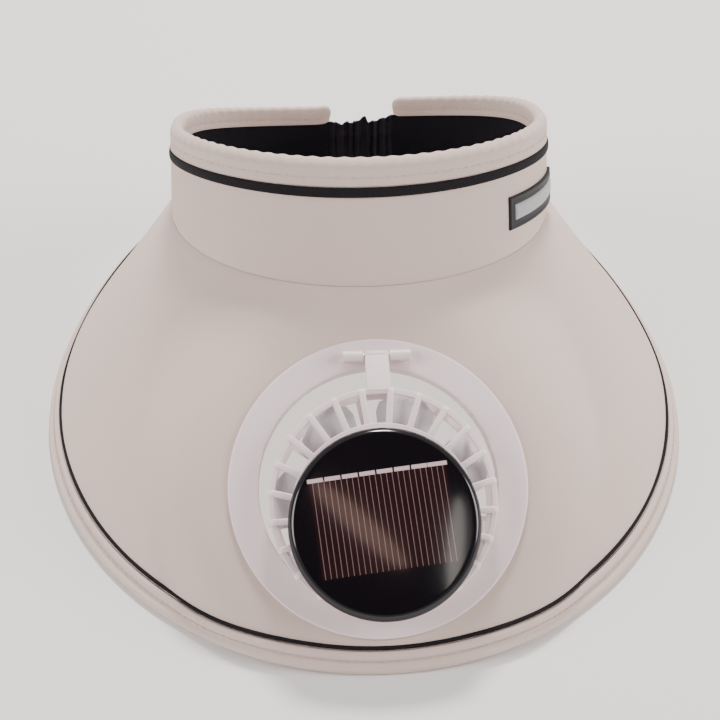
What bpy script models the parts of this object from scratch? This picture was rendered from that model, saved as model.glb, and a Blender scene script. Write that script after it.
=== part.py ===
"""Fan visor: an open crown band, a wide sloping brim and a hinged solar fan in the front of the brim.

The visor stands on the rim of its brim, front towards -Y. Sizes are metres and angles degrees.
"""
import math

import bmesh
import bpy
import numpy as np
from mathutils import Matrix, Vector

# Head opening, measured on the outer face at the seam between crown and brim
HEAD_HALF_WIDTH = 0.0900
HEAD_HALF_DEPTH = 0.0920
BACK_SQUARENESS = 2.48
BACK_GAP = 0.0340
BACK_GAP_SIDE = 0.0055
BACK_DIP = 0.0120
SEAM_HEIGHT = 0.0880
CROWN_TILT = 10.9

# Crown band, from the seam to its rim
RIM_HALF_WIDTH = 0.0872
RIM_HALF_DEPTH = 0.0794
FRONT_HEIGHT = 0.0528
LEFT_HEIGHT = 0.0430
RIGHT_HEIGHT = 0.0442
BACK_LEFT_HEIGHT = 0.0223
BACK_RIGHT_HEIGHT = 0.0262
SIDE_BLEND = 0.36
BAND_WALL = 0.0020
LINING_WALL = 0.0009
ROLL_THICKNESS = 0.0060
ROLL_DEPTH = 0.0112
ROLL_PROUD = 0.0006
PIPING_HEIGHT = 0.0042
PIPING_THICKNESS = 0.0013

# Gathered elastic across the back gap
ELASTIC_THICKNESS = 0.0020
GATHER_DEPTH = 0.0012
GATHER_COUNT = 7

# Patch on the right of the crown
PATCH_LENGTH = 0.0600
PATCH_HEIGHT = 0.0146
PATCH_FRONT = 0.0710
PATCH_RISE = 0.0112
PATCH_THICKNESS = 0.0010
PATCH_BORDER = 0.0038
PANEL_THICKNESS = 0.0006

# Brim
BRIM_HALF_WIDTH = 0.1529
BRIM_REACH = 0.1774
BRIM_SETBACK = 0.0367
BRIM_WALL = 0.0020
BACK_RISE = 2.00
TAIL_WIDTH = 0.0180
TAIL_SLOPE = 45.0
TAIL_GAP = 0.0500
BINDING_WIDTH = 0.0072
BINDING_THICKNESS = 0.0040
BEAD_RADIUS = 0.0011
FLAT_MARGIN = 0.0050
FLAT_FADE = 0.0550
EDGE_FADE = 0.0320

# Fan ring in the front of the brim
RING_DROP = 0.0861
RING_RADIUS = 0.0628
HOLE_RADIUS = 0.0500
FLANGE_THICKNESS = 0.0016
COLLAR_WALL = 0.0018
COLLAR_DEPTH = 0.0056
RING_EDGE = 0.0007
BACKING_WIDTH = 0.0072
BACKING_THICKNESS = 0.0016

# Hinge at the top of the ring, a little to one side of its middle
HINGE_SIDE = 0.0013
HINGE_UP = 0.0549
BARREL_RADIUS = 0.0024
BARREL_LIFT = 0.0004
ARM_WIDTH = 0.0100
ARM_THICKNESS = 0.0024
KNUCKLE_LENGTH = 0.0090
KNUCKLE_FOOT = 0.0034
HINGE_PLAY = 0.0004
PIN_RADIUS = 0.0011

# Fan cage, hung from the hinge
CAGE_DROP = 0.0619
CAGE_RADIUS = 0.0477
CAGE_LIFT = 0.0005
CAGE_DEPTH = 0.0102
GRILLE_THICKNESS = 0.0016
SPOKE_COUNT = 24
SPOKE_TURN = 1.3
SPOKE_WIDTH = 0.0027
SPOKE_DEPTH = 0.0020
ELBOW_CHAMFER = 0.0008
BAND_WIDTH = 0.0026
REAR_BAND_WIDTH = 0.0036
BAND_SET_DOWN = 0.0006
SEAT_RADIUS = 0.0385
SEAT_OFFSET = 0.0063
REAR_RING_RADIUS = 0.0290
REAR_RING_WIDTH = 0.0022
REAR_RIB_WIDTH = 0.0020
REAR_RIB_COUNT = 16

# Motor and impeller
MOTOR_RADIUS = 0.0105
MOTOR_LENGTH = 0.0120
SHAFT_RADIUS = 0.0010
CUP_WALL = 0.0014
HUB_RADIUS = 0.0125
HUB_WALL = 0.0012
IMPELLER_RADIUS = 0.0447
BLADE_COUNT = 7
BLADE_THICKNESS = 0.0009
BLADE_RISE = 0.0036
BLADE_PHASE = 16.5
SPIN_GAP = 0.0006

# Solar cap and cell
CAP_RADIUS = 0.0394
CAP_OFFSET = 0.0097
CAP_HEIGHT = 0.0080
CAP_DOME = 0.0019
CAP_EDGE = 0.0028
CAP_FOOT = 0.0022
CELL_WIDTH = 0.0560
CELL_HEIGHT = 0.0400
CELL_THICKNESS = 0.0006
CELL_TURN = 6.0
CELL_SIDE = -0.0005
CELL_UP = 0.0018

# Clearances and mesh fineness
GAP = 0.0003
RUNNING = 0.00007
MERGE = 0.00001
CROWN_STATIONS = 55
BRIM_STATIONS = 64
ROUND_STEPS = 44
SMALL_STEPS = 16

# Height of the elastic's top edge above the seam, along the gap from left to right
ELASTIC_TOP = [
    {"share": 0.00, "height": 0.0112},
    {"share": 0.17, "height": 0.0090},
    {"share": 0.36, "height": 0.0106},
    {"share": 0.56, "height": 0.0138},
    {"share": 0.64, "height": 0.0100},
    {"share": 0.78, "height": 0.0112},
    {"share": 1.00, "height": 0.0148},
]

# Half the blade's sweep in degrees at a share of the way from hub to tip
BLADE_SHAPE = [
    {"share": 0.00, "half_sweep": 13.0},
    {"share": 0.30, "half_sweep": 16.0},
    {"share": 0.60, "half_sweep": 18.0},
    {"share": 0.80, "half_sweep": 18.5},
    {"share": 0.92, "half_sweep": 16.0},
    {"share": 1.00, "half_sweep": 9.0},
]

# Share of the brim's width at each row of its surface
BRIM_ROWS = [0.0, 0.12, 0.25, 0.40, 0.55, 0.70, 0.86, 1.0]


def clear_scene():
    for item in list(bpy.data.objects):
        bpy.data.objects.remove(item, do_unlink=True)


def new_collection(name):
    made = bpy.data.collections.new(name)
    bpy.context.scene.collection.children.link(made)
    return made


def material(name, colour, roughness, metallic=0.0):
    made = bpy.data.materials.new(name)
    made.use_nodes = True
    shader = made.node_tree.nodes["Principled BSDF"]
    shader.inputs["Base Color"].default_value = (*colour, 1.0)
    shader.inputs["Roughness"].default_value = roughness
    shader.inputs["Metallic"].default_value = metallic
    return made


def smoothstep(value):
    share = np.clip(value, 0.0, 1.0)
    return share * share * (3.0 - 2.0 * share)


def unit(vectors):
    return vectors / np.linalg.norm(vectors, axis=-1, keepdims=True)


def run_lengths(points):
    steps = np.linalg.norm(np.diff(points, axis=0), axis=1)
    return np.concatenate([[0.0], np.cumsum(steps)])


# Crown outline

def outline(phi, half_width, half_depth):
    """Head outline at the angle phi from the front: round in front, squarer behind."""
    across, along = np.sin(phi), np.cos(phi)
    power = np.where(along < 0, 2.0 / BACK_SQUARENESS, 1.0)
    x = np.sign(across) * np.abs(across) ** power * half_width
    y = -np.sign(along) * np.abs(along) ** power * half_depth
    return x, y


def rim_height(phi):
    """Height of the crown's rim above the seam, by the angle round the head."""
    along = np.cos(phi)
    blend = smoothstep(0.5 + np.sin(phi) / SIDE_BLEND)
    side = LEFT_HEIGHT + (RIGHT_HEIGHT - LEFT_HEIGHT) * blend
    back = BACK_LEFT_HEIGHT + (BACK_RIGHT_HEIGHT - BACK_LEFT_HEIGHT) * blend
    return side + (FRONT_HEIGHT - back) / 2 * along + ((FRONT_HEIGHT + back) / 2 - side) * along ** 2


def crown_point(phi, height, inset):
    """Point of the crown at a height above the seam and an inset from its outer face."""
    share = np.maximum(height, 0.0) / rim_height(phi)
    half_width = HEAD_HALF_WIDTH + (RIM_HALF_WIDTH - HEAD_HALF_WIDTH) * share - inset
    half_depth = HEAD_HALF_DEPTH + (RIM_HALF_DEPTH - HEAD_HALF_DEPTH) * share - inset
    x, y = outline(phi, half_width, half_depth)
    tilt = math.radians(CROWN_TILT)
    back = y * math.cos(tilt) + height * math.sin(tilt)
    up = SEAM_HEIGHT - y * math.sin(tilt) + height * math.cos(tilt)
    return np.stack(np.broadcast_arrays(x, back, up), axis=-1)


def seam_height(phi):
    """Height of the band's lower edge above the seam plane: it dips at the back."""
    return -BACK_DIP * smoothstep((-np.cos(phi) - 0.25) / 0.75)


def seam_angles(count, gap, side=0.0):
    """Angles at even steps round the seam, leaving a gap at the back, set off to the right by side."""
    phi = np.linspace(-math.pi, math.pi, 4001)
    run = run_lengths(crown_point(phi, 0.0 * phi, 0.0))
    return np.interp(np.linspace(gap / 2 - side, run[-1] - gap / 2 - side, count), run, phi)


# Brim surface: rulings from the seam to the brim's edge

def brim_tops(phi):
    """Upper ends of the rulings, a gap below the crown band."""
    return crown_point(phi, seam_height(phi) - BRIM_WALL / 2 - GAP / 2, BRIM_WALL * 0.4)


def brim_edge(phi_tail, count):
    """Right half of the brim's edge from front to tail, at even steps along it."""
    rest = BINDING_THICKNESS / 2
    turn = np.linspace(0.0, math.pi / 2, 600)
    sine, cosine = np.sin(turn), np.cos(turn)
    front = np.stack([BRIM_HALF_WIDTH * sine, -BRIM_SETBACK - BRIM_REACH * cosine, np.full_like(turn, rest)], -1)
    slope = math.radians(TAIL_SLOPE)
    drop = Vector((0.0, math.cos(slope), -math.sin(slope))) * TAIL_WIDTH
    end = np.array([phi_tail])
    tail = crown_point(end, seam_height(end), 0.0)[0] + np.array(drop)
    x = tail[0] + (BRIM_HALF_WIDTH - tail[0]) * cosine
    y = -BRIM_SETBACK + (tail[1] + BRIM_SETBACK) * sine
    z = rest + (tail[2] - rest) * sine ** BACK_RISE
    line = np.concatenate([front, np.stack([x, y, z], -1)[1:]])
    run = run_lengths(line)
    even = np.linspace(0.0, run[-1], count)
    return np.stack([np.interp(even, run, line[:, axis]) for axis in range(3)], -1)


def brim_ends():
    """Upper and lower ends of every ruling, from the left tail round to the right one."""
    phi = seam_angles(BRIM_STATIONS + 1, TAIL_GAP)
    tops = brim_tops(phi)
    right = brim_edge(phi[-1], BRIM_STATIONS // 2 + 1)
    left = right[::-1] * np.array([-1.0, 1.0, 1.0])
    return tops, np.concatenate([left[:-1], right])


def ring_plane(tops, ends):
    """Centre, down-slope and outward directions of the fan ring, in the brim's front line."""
    middle = len(tops) // 2
    top, end = tops[middle], ends[middle]
    down = unit(end - top)
    out = unit(np.array([0.0, down[2], -down[1]]))
    centre = top + down * RING_DROP + out * BRIM_WALL / 2
    return centre, down, out


def brim_points(tops, ends, share):
    """Points of the brim's middle surface at a share of each ruling, held flat round the ring."""
    centre, down, out = ring_plane(tops, ends)
    share = np.broadcast_to(share, (len(tops),))
    middle = len(tops) // 2
    length = np.linalg.norm(ends[middle] - tops[middle])
    points = tops + (ends - tops) * share[:, None]
    offset = points - centre
    depth = offset @ out + BRIM_WALL / 2
    radius = np.hypot(offset[:, 0], offset @ down)
    reach = FLAT_FADE + (EDGE_FADE - FLAT_FADE) * smoothstep(share)
    fade = 1.0 - smoothstep((radius - RING_RADIUS - FLAT_MARGIN) / reach)
    fade = fade * smoothstep(share * length / (RING_DROP - RING_RADIUS))
    return points - out * (depth * fade)[:, None]


def edge_frames(tops, ends):
    """The brim's edge line, with its level inward, upward and ruling directions at each station."""
    line = brim_points(tops, ends, 1.0)
    along = unit(np.gradient(line, axis=0))
    length = np.linalg.norm(ends - tops, axis=1)
    inner = brim_points(tops, ends, 1.0 - BINDING_WIDTH / length)
    inward = unit(inner - line)
    up = unit(np.cross(inward, along))
    up = up * np.sign(up[:, 2:3])
    level = unit(inward - along * np.sum(inward * along, axis=1, keepdims=True))
    square = unit(np.cross(along, level))
    square = square * np.sign(np.sum(square * up, axis=1))[:, None]
    return line, level, square, inward


# Mesh helpers

def add_object(name, mesh, look, parent=None, home=None):
    made = bpy.data.objects.new(name, mesh)
    (home or PARTS).objects.link(made)
    made.parent = parent
    if look:
        mesh.materials.append(look)
    return made


def tidy(mesh):
    """Welds doubled corners, turns the faces outwards and shades the mesh smooth between sharp edges."""
    work = bmesh.new()
    work.from_mesh(mesh)
    bmesh.ops.remove_doubles(work, verts=work.verts, dist=MERGE)
    bmesh.ops.recalc_face_normals(work, faces=work.faces)
    work.to_mesh(mesh)
    work.free()
    mesh.shade_smooth()
    mesh.set_sharp_from_angle(angle=math.radians(35))


def loft(name, sections, look, home=None):
    """Closed body through a row of sections, each a closed loop of points, with flat ends."""
    rows, count = len(sections), len(sections[0])
    points = [tuple(point) for section in sections for point in section]
    faces = [list(range(count)), [(rows - 1) * count + k for k in range(count)][::-1]]
    for row in range(rows - 1):
        for k in range(count):
            after = (k + 1) % count
            faces.append([row * count + k, row * count + after, (row + 1) * count + after, (row + 1) * count + k])
    mesh = bpy.data.meshes.new(name)
    mesh.from_pydata(points, [], faces)
    tidy(mesh)
    return add_object(name, mesh, look, home=home)


def turned(name, profile, look, steps=None, parent=None, place=(0.0, 0.0, 0.0), home=None):
    """Body turned about its own Z axis from a profile of radius and height pairs."""
    mesh = bpy.data.meshes.new(name)
    on_axis = min(radius for radius, _ in profile) < MERGE
    edges = [(k, k + 1) for k in range(len(profile) - 1)]
    if not on_axis:
        edges.append((len(profile) - 1, 0))
    mesh.from_pydata([(radius, 0.0, height) for radius, height in profile], edges, [])
    made = add_object(name, mesh, None, home=home)
    screw = made.modifiers.new("turn", "SCREW")
    screw.steps = steps or ROUND_STEPS
    screw.render_steps = screw.steps
    screw.use_merge_vertices = True
    screw.merge_threshold = MERGE
    bake(made)
    tidy(made.data)
    if look:
        made.data.materials.append(look)
    made.parent = parent
    made.location = place
    return made


def rod(name, radius, length, look, parent=None, place=(0.0, 0.0, 0.0), steps=None, home=None):
    """Round rod along X."""
    mesh = bpy.data.meshes.new(name)
    work = bmesh.new()
    turn = Matrix.Rotation(math.pi / 2, 4, "Y")
    bmesh.ops.create_cone(work, cap_ends=True, segments=steps or SMALL_STEPS, radius1=radius, radius2=radius,
                          depth=length, matrix=turn)
    work.to_mesh(mesh)
    work.free()
    tidy(mesh)
    made = add_object(name, mesh, look, parent, home)
    made.location = place
    return made


def block(name, low, high, look, parent=None, home=None):
    """Box between two corners."""
    mesh = bpy.data.meshes.new(name)
    work = bmesh.new()
    size = [b - a for a, b in zip(low, high)]
    middle = [(a + b) / 2 for a, b in zip(low, high)]
    bmesh.ops.create_cube(work, size=1.0, matrix=Matrix.Translation(middle) @ Matrix.Diagonal((*size, 1.0)))
    work.to_mesh(mesh)
    work.free()
    return add_object(name, mesh, look, parent, home)


def bake(item):
    """Replaces an object's mesh with its evaluated one and clears its modifiers."""
    bpy.context.view_layer.update()
    ready = bpy.data.meshes.new_from_object(item.evaluated_get(bpy.context.evaluated_depsgraph_get()))
    item.modifiers.clear()
    item.data = ready


def combine(item, other, operation):
    """Joins another body to an object, or cuts it away, and keeps the other as a hidden cutter."""
    for owner in other.users_collection:
        owner.objects.unlink(other)
    CUTTERS.objects.link(other)
    other.hide_render = True
    other.display_type = "WIRE"
    step = item.modifiers.new(operation.lower(), "BOOLEAN")
    step.operation = operation
    step.object = other


def ring_profile(inner, outer, low, high, edge=0.0):
    """Rectangular ring section with its outer upper edge taken off."""
    return [(inner, high), (outer - edge, high), (outer, high - edge), (outer, low), (inner, low)]


# Crown pieces

def crown_loft(name, look, corners, ends=None):
    """Lofts a section round the crown. Each corner gives its height and its inset from the outer face."""
    phi = seam_angles(CROWN_STATIONS, BACK_GAP, BACK_GAP_SIDE)
    rings = [crown_point(phi, height(phi), inset) for height, inset in corners]
    sections = np.stack(rings, axis=1)
    if ends is not None:
        middle = sections.mean(axis=1, keepdims=True)
        sections = middle + (sections - middle) * ends[:, None, None]
    return loft(name, sections, look)


def make_band():
    top = lambda phi: rim_height(phi) - ROLL_DEPTH - GAP
    base = seam_height
    half = lambda phi: (top(phi) + base(phi)) / 2
    corners = [(base, 0.0), (half, 0.0), (top, 0.0), (top, BAND_WALL), (half, BAND_WALL), (base, BAND_WALL)]
    return crown_loft("crown_band", FABRIC, corners)


def make_lining():
    inner = BAND_WALL + GAP
    top = lambda phi: rim_height(phi) - ROLL_DEPTH - GAP
    base = seam_height
    half = lambda phi: (top(phi) + base(phi)) / 2
    outer = inner + LINING_WALL
    corners = [(base, inner), (half, inner), (top, inner), (top, outer), (half, outer), (base, outer)]
    return crown_loft("crown_lining", BLACK_CLOTH, corners)


def make_roll():
    """Padded rim: a flat-sided section with a round top."""
    radius = ROLL_THICKNESS / 2
    middle = radius - ROLL_PROUD
    corners = []
    for step in range(7):
        turn = math.pi * step / 6
        lift = radius * math.sin(turn) - radius
        corners.append((lambda phi, lift=lift: rim_height(phi) + lift, middle - radius * math.cos(turn)))
    corners.append((lambda phi: rim_height(phi) - ROLL_DEPTH, middle + radius))
    corners.append((lambda phi: rim_height(phi) - ROLL_DEPTH, middle - radius))
    ends = np.ones(CROWN_STATIONS)
    ends[[0, -1]] = 0.72
    return crown_loft("top_roll", FABRIC, corners, ends=ends)


def make_rim_piping():
    outer = -GAP - PIPING_THICKNESS
    high = lambda phi: rim_height(phi) - ROLL_DEPTH - GAP
    low = lambda phi: rim_height(phi) - ROLL_DEPTH - GAP - PIPING_HEIGHT
    crest_high = lambda phi: high(phi) - PIPING_THICKNESS / 2
    crest_low = lambda phi: low(phi) + PIPING_THICKNESS / 2
    corners = [(low, -GAP), (crest_low, outer), (crest_high, outer), (high, -GAP)]
    return crown_loft("top_piping", BLACK_CORD, corners)


def make_elastic():
    """Gathered strip from one end of the crown band to the other."""
    count = GATHER_COUNT * 6 + 1
    share = np.linspace(0.0, 1.0, count)
    ends = seam_angles(2, BACK_GAP - 2 * GAP, BACK_GAP_SIDE)
    phi_all = np.linspace(ends[1], 2 * math.pi + ends[0], 2001)
    run = run_lengths(crown_point(phi_all, 0.0 * phi_all, 0.0))
    phi = np.interp(share * run[-1], run, phi_all)[::-1]
    fade = smoothstep(share / 0.12) * smoothstep((1.0 - share) / 0.12)
    wave = GATHER_DEPTH * np.sin(2 * math.pi * GATHER_COUNT * share) * fade
    middle = (BAND_WALL + GAP + LINING_WALL) / 2
    top = np.interp(share, [row["share"] for row in ELASTIC_TOP], [row["height"] for row in ELASTIC_TOP])
    half = ELASTIC_THICKNESS / 2
    rows = []
    for height, side in ((0.0, 1), (0.5, 1), (1.0, 1), (1.0, -1), (0.5, -1), (0.0, -1)):
        inset = middle + wave * (0.5 + height / 2) - side * half
        low = seam_height(phi)
        rows.append(crown_point(phi, low + (top - low) * height, inset))
    return loft("back_elastic", np.stack(rows, axis=1), BLACK_CLOTH)


def patch_plate(name, look, margin, low, high):
    """Curved plate on the crown's outer face, in line with the rim and set in from the patch's outline."""
    phi_all = np.linspace(0.0, math.pi, 2001)
    run = run_lengths(crown_point(phi_all, 0.0 * phi_all, 0.0))
    start, stop = PATCH_FRONT + margin, PATCH_FRONT + PATCH_LENGTH - margin
    phi = np.interp(np.linspace(start, stop, 13), run, phi_all)
    fall = rim_height(phi) - rim_height(np.interp(PATCH_FRONT, run, phi_all))
    base, top = PATCH_RISE + margin, PATCH_RISE + PATCH_HEIGHT - margin
    rows = [crown_point(phi, height + fall, -inset)
            for height, inset in ((base, low), (base, high), (top, high), (top, low))]
    return loft(name, np.stack(rows, axis=1), look)


def make_patch():
    patch_plate("side_patch", BLACK_PLASTIC, 0.0, GAP, GAP + PATCH_THICKNESS)
    low = 2 * GAP + PATCH_THICKNESS
    patch_plate("patch_panel", GREY_PLASTIC, PATCH_BORDER, low, low + PANEL_THICKNESS)


# Brim pieces

def brim_lengths(tops, ends):
    """Length of each ruling measured square to the brim's edge, and of the ruling itself."""
    _, level, _, inward = edge_frames(tops, ends)
    length = np.linalg.norm(ends - tops, axis=1)
    return length, np.sum(level * inward, axis=1)


def make_brim(tops, ends):
    length, square = brim_lengths(tops, ends)
    margin = (BINDING_WIDTH + 2 * BEAD_RADIUS + 3 * GAP) / square
    last = 1.0 - margin / length
    rows = [brim_points(tops, ends, last * share) for share in BRIM_ROWS]
    count = len(tops)
    points = [tuple(point) for row in rows for point in row]
    faces = [(r * count + k, r * count + k + 1, (r + 1) * count + k + 1, (r + 1) * count + k)
             for r in range(len(rows) - 1) for k in range(count - 1)]
    mesh = bpy.data.meshes.new("brim")
    mesh.from_pydata(points, [], [face[::-1] for face in faces])
    mesh.shade_smooth()
    brim = add_object("brim", mesh, FABRIC)
    wall = brim.modifiers.new("wall", "SOLIDIFY")
    wall.thickness = BRIM_WALL
    wall.offset = 0.0
    wall.use_even_offset = True
    hole = turned("brim_hole", [(0.0, 0.02), (HOLE_RADIUS + COLLAR_WALL + GAP, 0.02),
                                (HOLE_RADIUS + COLLAR_WALL + GAP, -0.02), (0.0, -0.02)], None, parent=RING)
    combine(brim, hole, "DIFFERENCE")
    return brim


def edge_loft(name, tops, ends, look, corners):
    """Lofts a section along the brim's edge. Each corner gives its way inwards and its way up."""
    line, level, up, _ = edge_frames(tops, ends)
    rings = [line + level * inward + up * lift for inward, lift in corners]
    return loft(name, np.stack(rings, axis=1), look)


def make_binding(tops, ends):
    radius = BINDING_THICKNESS / 2
    corners = [(BINDING_WIDTH, radius)]
    for step in range(5):
        turn = math.pi * step / 4
        corners.append((-radius * math.sin(turn), radius * math.cos(turn)))
    corners.append((BINDING_WIDTH, -radius))
    return edge_loft("brim_binding", tops, ends, FABRIC, corners)


def make_bead(tops, ends):
    inward = BINDING_WIDTH + GAP + BEAD_RADIUS
    corners = []
    for step in range(6):
        turn = 2 * math.pi * step / 6
        corners.append((inward + BEAD_RADIUS * math.cos(turn), BRIM_WALL / 2 + BEAD_RADIUS * math.sin(turn)))
    return edge_loft("brim_piping", tops, ends, BLACK_CORD, corners)


# Fan ring and hinge, in the ring's own frame: X across, Y up the slope, Z outwards

def make_ring():
    low, high = GAP, GAP + FLANGE_THICKNESS
    collar = HOLE_RADIUS + COLLAR_WALL
    profile = [(HOLE_RADIUS, high), (RING_RADIUS - RING_EDGE, high), (RING_RADIUS, high - RING_EDGE),
               (RING_RADIUS, low), (collar, low), (collar, -COLLAR_DEPTH), (HOLE_RADIUS, -COLLAR_DEPTH)]
    ring = turned("fan_ring", profile, WHITE_PLASTIC, parent=RING)
    for side in (-1, 1):
        middle = HINGE_SIDE + side * (ARM_WIDTH / 2 + HINGE_PLAY + KNUCKLE_LENGTH / 2)
        place = (middle, HINGE_UP, HINGE_LEVEL)
        knuckle = rod("knuckle", BARREL_RADIUS, KNUCKLE_LENGTH, None, RING, place)
        combine(ring, knuckle, "UNION")
        half = KNUCKLE_LENGTH / 2 - GAP
        foot = block("knuckle_foot", (middle - half, HINGE_UP - KNUCKLE_FOOT / 2, high - GAP),
                     (middle + half, HINGE_UP + KNUCKLE_FOOT / 2, HINGE_LEVEL), None, RING)
        combine(ring, foot, "UNION")
    bore = rod("ring_bore", PIN_RADIUS + RUNNING, 0.06, None, RING, (HINGE_SIDE, HINGE_UP, HINGE_LEVEL))
    combine(ring, bore, "DIFFERENCE")
    backing = ring_profile(collar + GAP, collar + GAP + BACKING_WIDTH,
                           -BRIM_WALL - GAP - BACKING_THICKNESS, -BRIM_WALL - GAP)
    turned("ring_backing", backing, WHITE_PLASTIC, parent=RING)
    length = ARM_WIDTH + 2 * HINGE_PLAY + 2 * KNUCKLE_LENGTH
    rod("hinge_pin", PIN_RADIUS, length, STEEL, RING, (HINGE_SIDE, HINGE_UP, HINGE_LEVEL))


# Fan cage, in the frame of its hinge: the same axes, with the origin on the hinge's axis

def spoke_sections():
    """Elbow-shaped spokes, each from its elbow on the cage's edge towards the middle of the cap seat."""
    foot = REAR_TOP + GAP - HINGE_LEVEL
    top = CAGE_TOP - HINGE_LEVEL
    points, faces = [], []
    for k in range(SPOKE_COUNT):
        turn = 2 * math.pi * (k + 0.5) / SPOKE_COUNT - math.radians(SPOKE_TURN)
        elbow = Vector((CAGE_RADIUS * math.sin(turn), -CAGE_DROP + CAGE_RADIUS * math.cos(turn), 0.0))
        inward = Vector((0.0, -CAGE_DROP - SEAT_OFFSET, 0.0)) - elbow
        reach = inward.length - SEAT_RADIUS + SPOKE_WIDTH
        inward.normalize()
        side = Vector((-inward.y, inward.x, 0.0)) * SPOKE_WIDTH / 2
        profile = [(0.0, foot), (0.0, top - ELBOW_CHAMFER), (ELBOW_CHAMFER, top), (reach, top),
                   (reach, top - SPOKE_DEPTH), (SPOKE_DEPTH, top - SPOKE_DEPTH), (SPOKE_DEPTH, foot)]
        first = len(points)
        for sign in (-1, 1):
            for way, height in profile:
                points.append(elbow + inward * way + side * sign + Vector((0.0, 0.0, height)))
        count = len(profile)
        faces.append([first + i for i in range(count)])
        faces.append([first + count + i for i in range(count)][::-1])
        for i in range(count):
            after = (i + 1) % count
            faces.append([first + i, first + count + i, first + count + after, first + after])
    return points, faces


def make_cage_front():
    top = CAGE_TOP - HINGE_LEVEL
    band_top = top - BAND_SET_DOWN
    outer = CAGE_RADIUS - BAND_SET_DOWN
    band = ring_profile(outer - BAND_WIDTH, outer, top - SPOKE_DEPTH, band_top)
    cage = turned("cage_front", band, WHITE_PLASTIC, parent=HINGE, place=(0.0, -CAGE_DROP, 0.0))
    points, faces = spoke_sections()
    mesh = bpy.data.meshes.new("spokes")
    mesh.from_pydata(points, [], faces)
    tidy(mesh)
    combine(cage, add_object("spokes", mesh, None, HINGE), "UNION")
    seat = [(0.0, top), (SEAT_RADIUS, top), (SEAT_RADIUS, top - SPOKE_DEPTH), (0.0, top - SPOKE_DEPTH)]
    combine(cage, turned("seat", seat, None, parent=HINGE, place=(0.0, -CAGE_DROP - SEAT_OFFSET, 0.0)), "UNION")
    barrel = rod("barrel", BARREL_RADIUS, ARM_WIDTH, None, HINGE)
    combine(cage, barrel, "UNION")
    end = -CAGE_DROP + outer - BAND_WIDTH / 2
    crest = BARREL_RADIUS
    side = [(0.0, crest), (0.0, crest - ARM_THICKNESS), (end, top - SPOKE_DEPTH - GAP), (end, top)]
    sections = [[(x, y, z) for y, z in side] for x in (-ARM_WIDTH / 2, ARM_WIDTH / 2)]
    tongue = loft("tongue", sections, None)
    tongue.parent = HINGE
    combine(cage, tongue, "UNION")
    combine(cage, rod("arm_bore", PIN_RADIUS + RUNNING, 0.06, None, HINGE), "DIFFERENCE")
    return cage


def make_cage_back():
    """Rear grille: an outer and a middle ring, ribs, and a cup for the motor."""
    low, high = REAR_LOW - HINGE_LEVEL, REAR_TOP - HINGE_LEVEL
    place = (0.0, -CAGE_DROP, 0.0)
    outer = CAGE_RADIUS - BAND_SET_DOWN
    back = turned("cage_back", ring_profile(outer - REAR_BAND_WIDTH, outer, low, high), WHITE_PLASTIC,
                  parent=HINGE, place=place)
    cup = MOTOR_RADIUS + GAP + CUP_WALL
    middle_ring = ring_profile(REAR_RING_RADIUS - REAR_RING_WIDTH / 2, REAR_RING_RADIUS + REAR_RING_WIDTH / 2,
                               low, high)
    ribs = []
    for k in range(REAR_RIB_COUNT):
        turn = Matrix.Rotation(2 * math.pi * (k + 0.5) / REAR_RIB_COUNT, 4, "Z")
        inner = cup - CUP_WALL / 2
        reach = outer - REAR_BAND_WIDTH / 2
        corners = [(x, y, z) for x in (-REAR_RIB_WIDTH / 2, REAR_RIB_WIDTH / 2) for y in (inner, reach)
                   for z in (low + GAP / 2, high - GAP / 2)]
        ribs.append([turn @ Vector(corner) for corner in corners])
    points = [point for rib in ribs for point in rib]
    sides = [(0, 1, 3, 2), (4, 6, 7, 5), (0, 4, 5, 1), (2, 3, 7, 6), (0, 2, 6, 4), (1, 5, 7, 3)]
    faces = [[8 * k + i for i in side] for k in range(REAR_RIB_COUNT) for side in sides]
    mesh = bpy.data.meshes.new("ribs")
    mesh.from_pydata(points, [], faces)
    tidy(mesh)
    spread = add_object("ribs", mesh, None, HINGE)
    spread.location = place
    combine(back, spread, "UNION")
    combine(back, turned("middle_ring", middle_ring, None, parent=HINGE, place=place), "UNION")
    floor = MOTOR_LOW - GAP - CUP_WALL
    profile = [(cup - CUP_WALL, high), (cup, high), (cup, floor), (0.0, floor), (0.0, floor + CUP_WALL),
               (cup - CUP_WALL, floor + CUP_WALL)]
    combine(back, cup_body("motor_cup", profile, place), "UNION")
    return back


def cup_body(name, profile, place):
    """Turned cup, whose profile starts and ends on its inner wall and touches the axis on its floor."""
    outer = turned(name, [(0.0, profile[0][1])] + profile[1:4], None, steps=32, parent=HINGE, place=place)
    inner_top = profile[0][1] + GAP
    hollow = [(0.0, inner_top), (profile[0][0], inner_top), (profile[0][0], profile[4][1]), (0.0, profile[4][1])]
    combine(outer, turned(name + "_hollow", hollow, None, steps=32, parent=HINGE, place=place), "DIFFERENCE")
    return outer


def make_motor():
    """Round motor with its shaft, one turned body."""
    shaft_top = HUB_TOP - HUB_WALL
    profile = [(0.0, shaft_top), (SHAFT_RADIUS, shaft_top), (SHAFT_RADIUS, MOTOR_TOP), (MOTOR_RADIUS, MOTOR_TOP),
               (MOTOR_RADIUS, MOTOR_LOW), (0.0, MOTOR_LOW)]
    turned("motor", profile, STEEL, steps=32, parent=HINGE, place=(0.0, -CAGE_DROP, 0.0))


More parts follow.
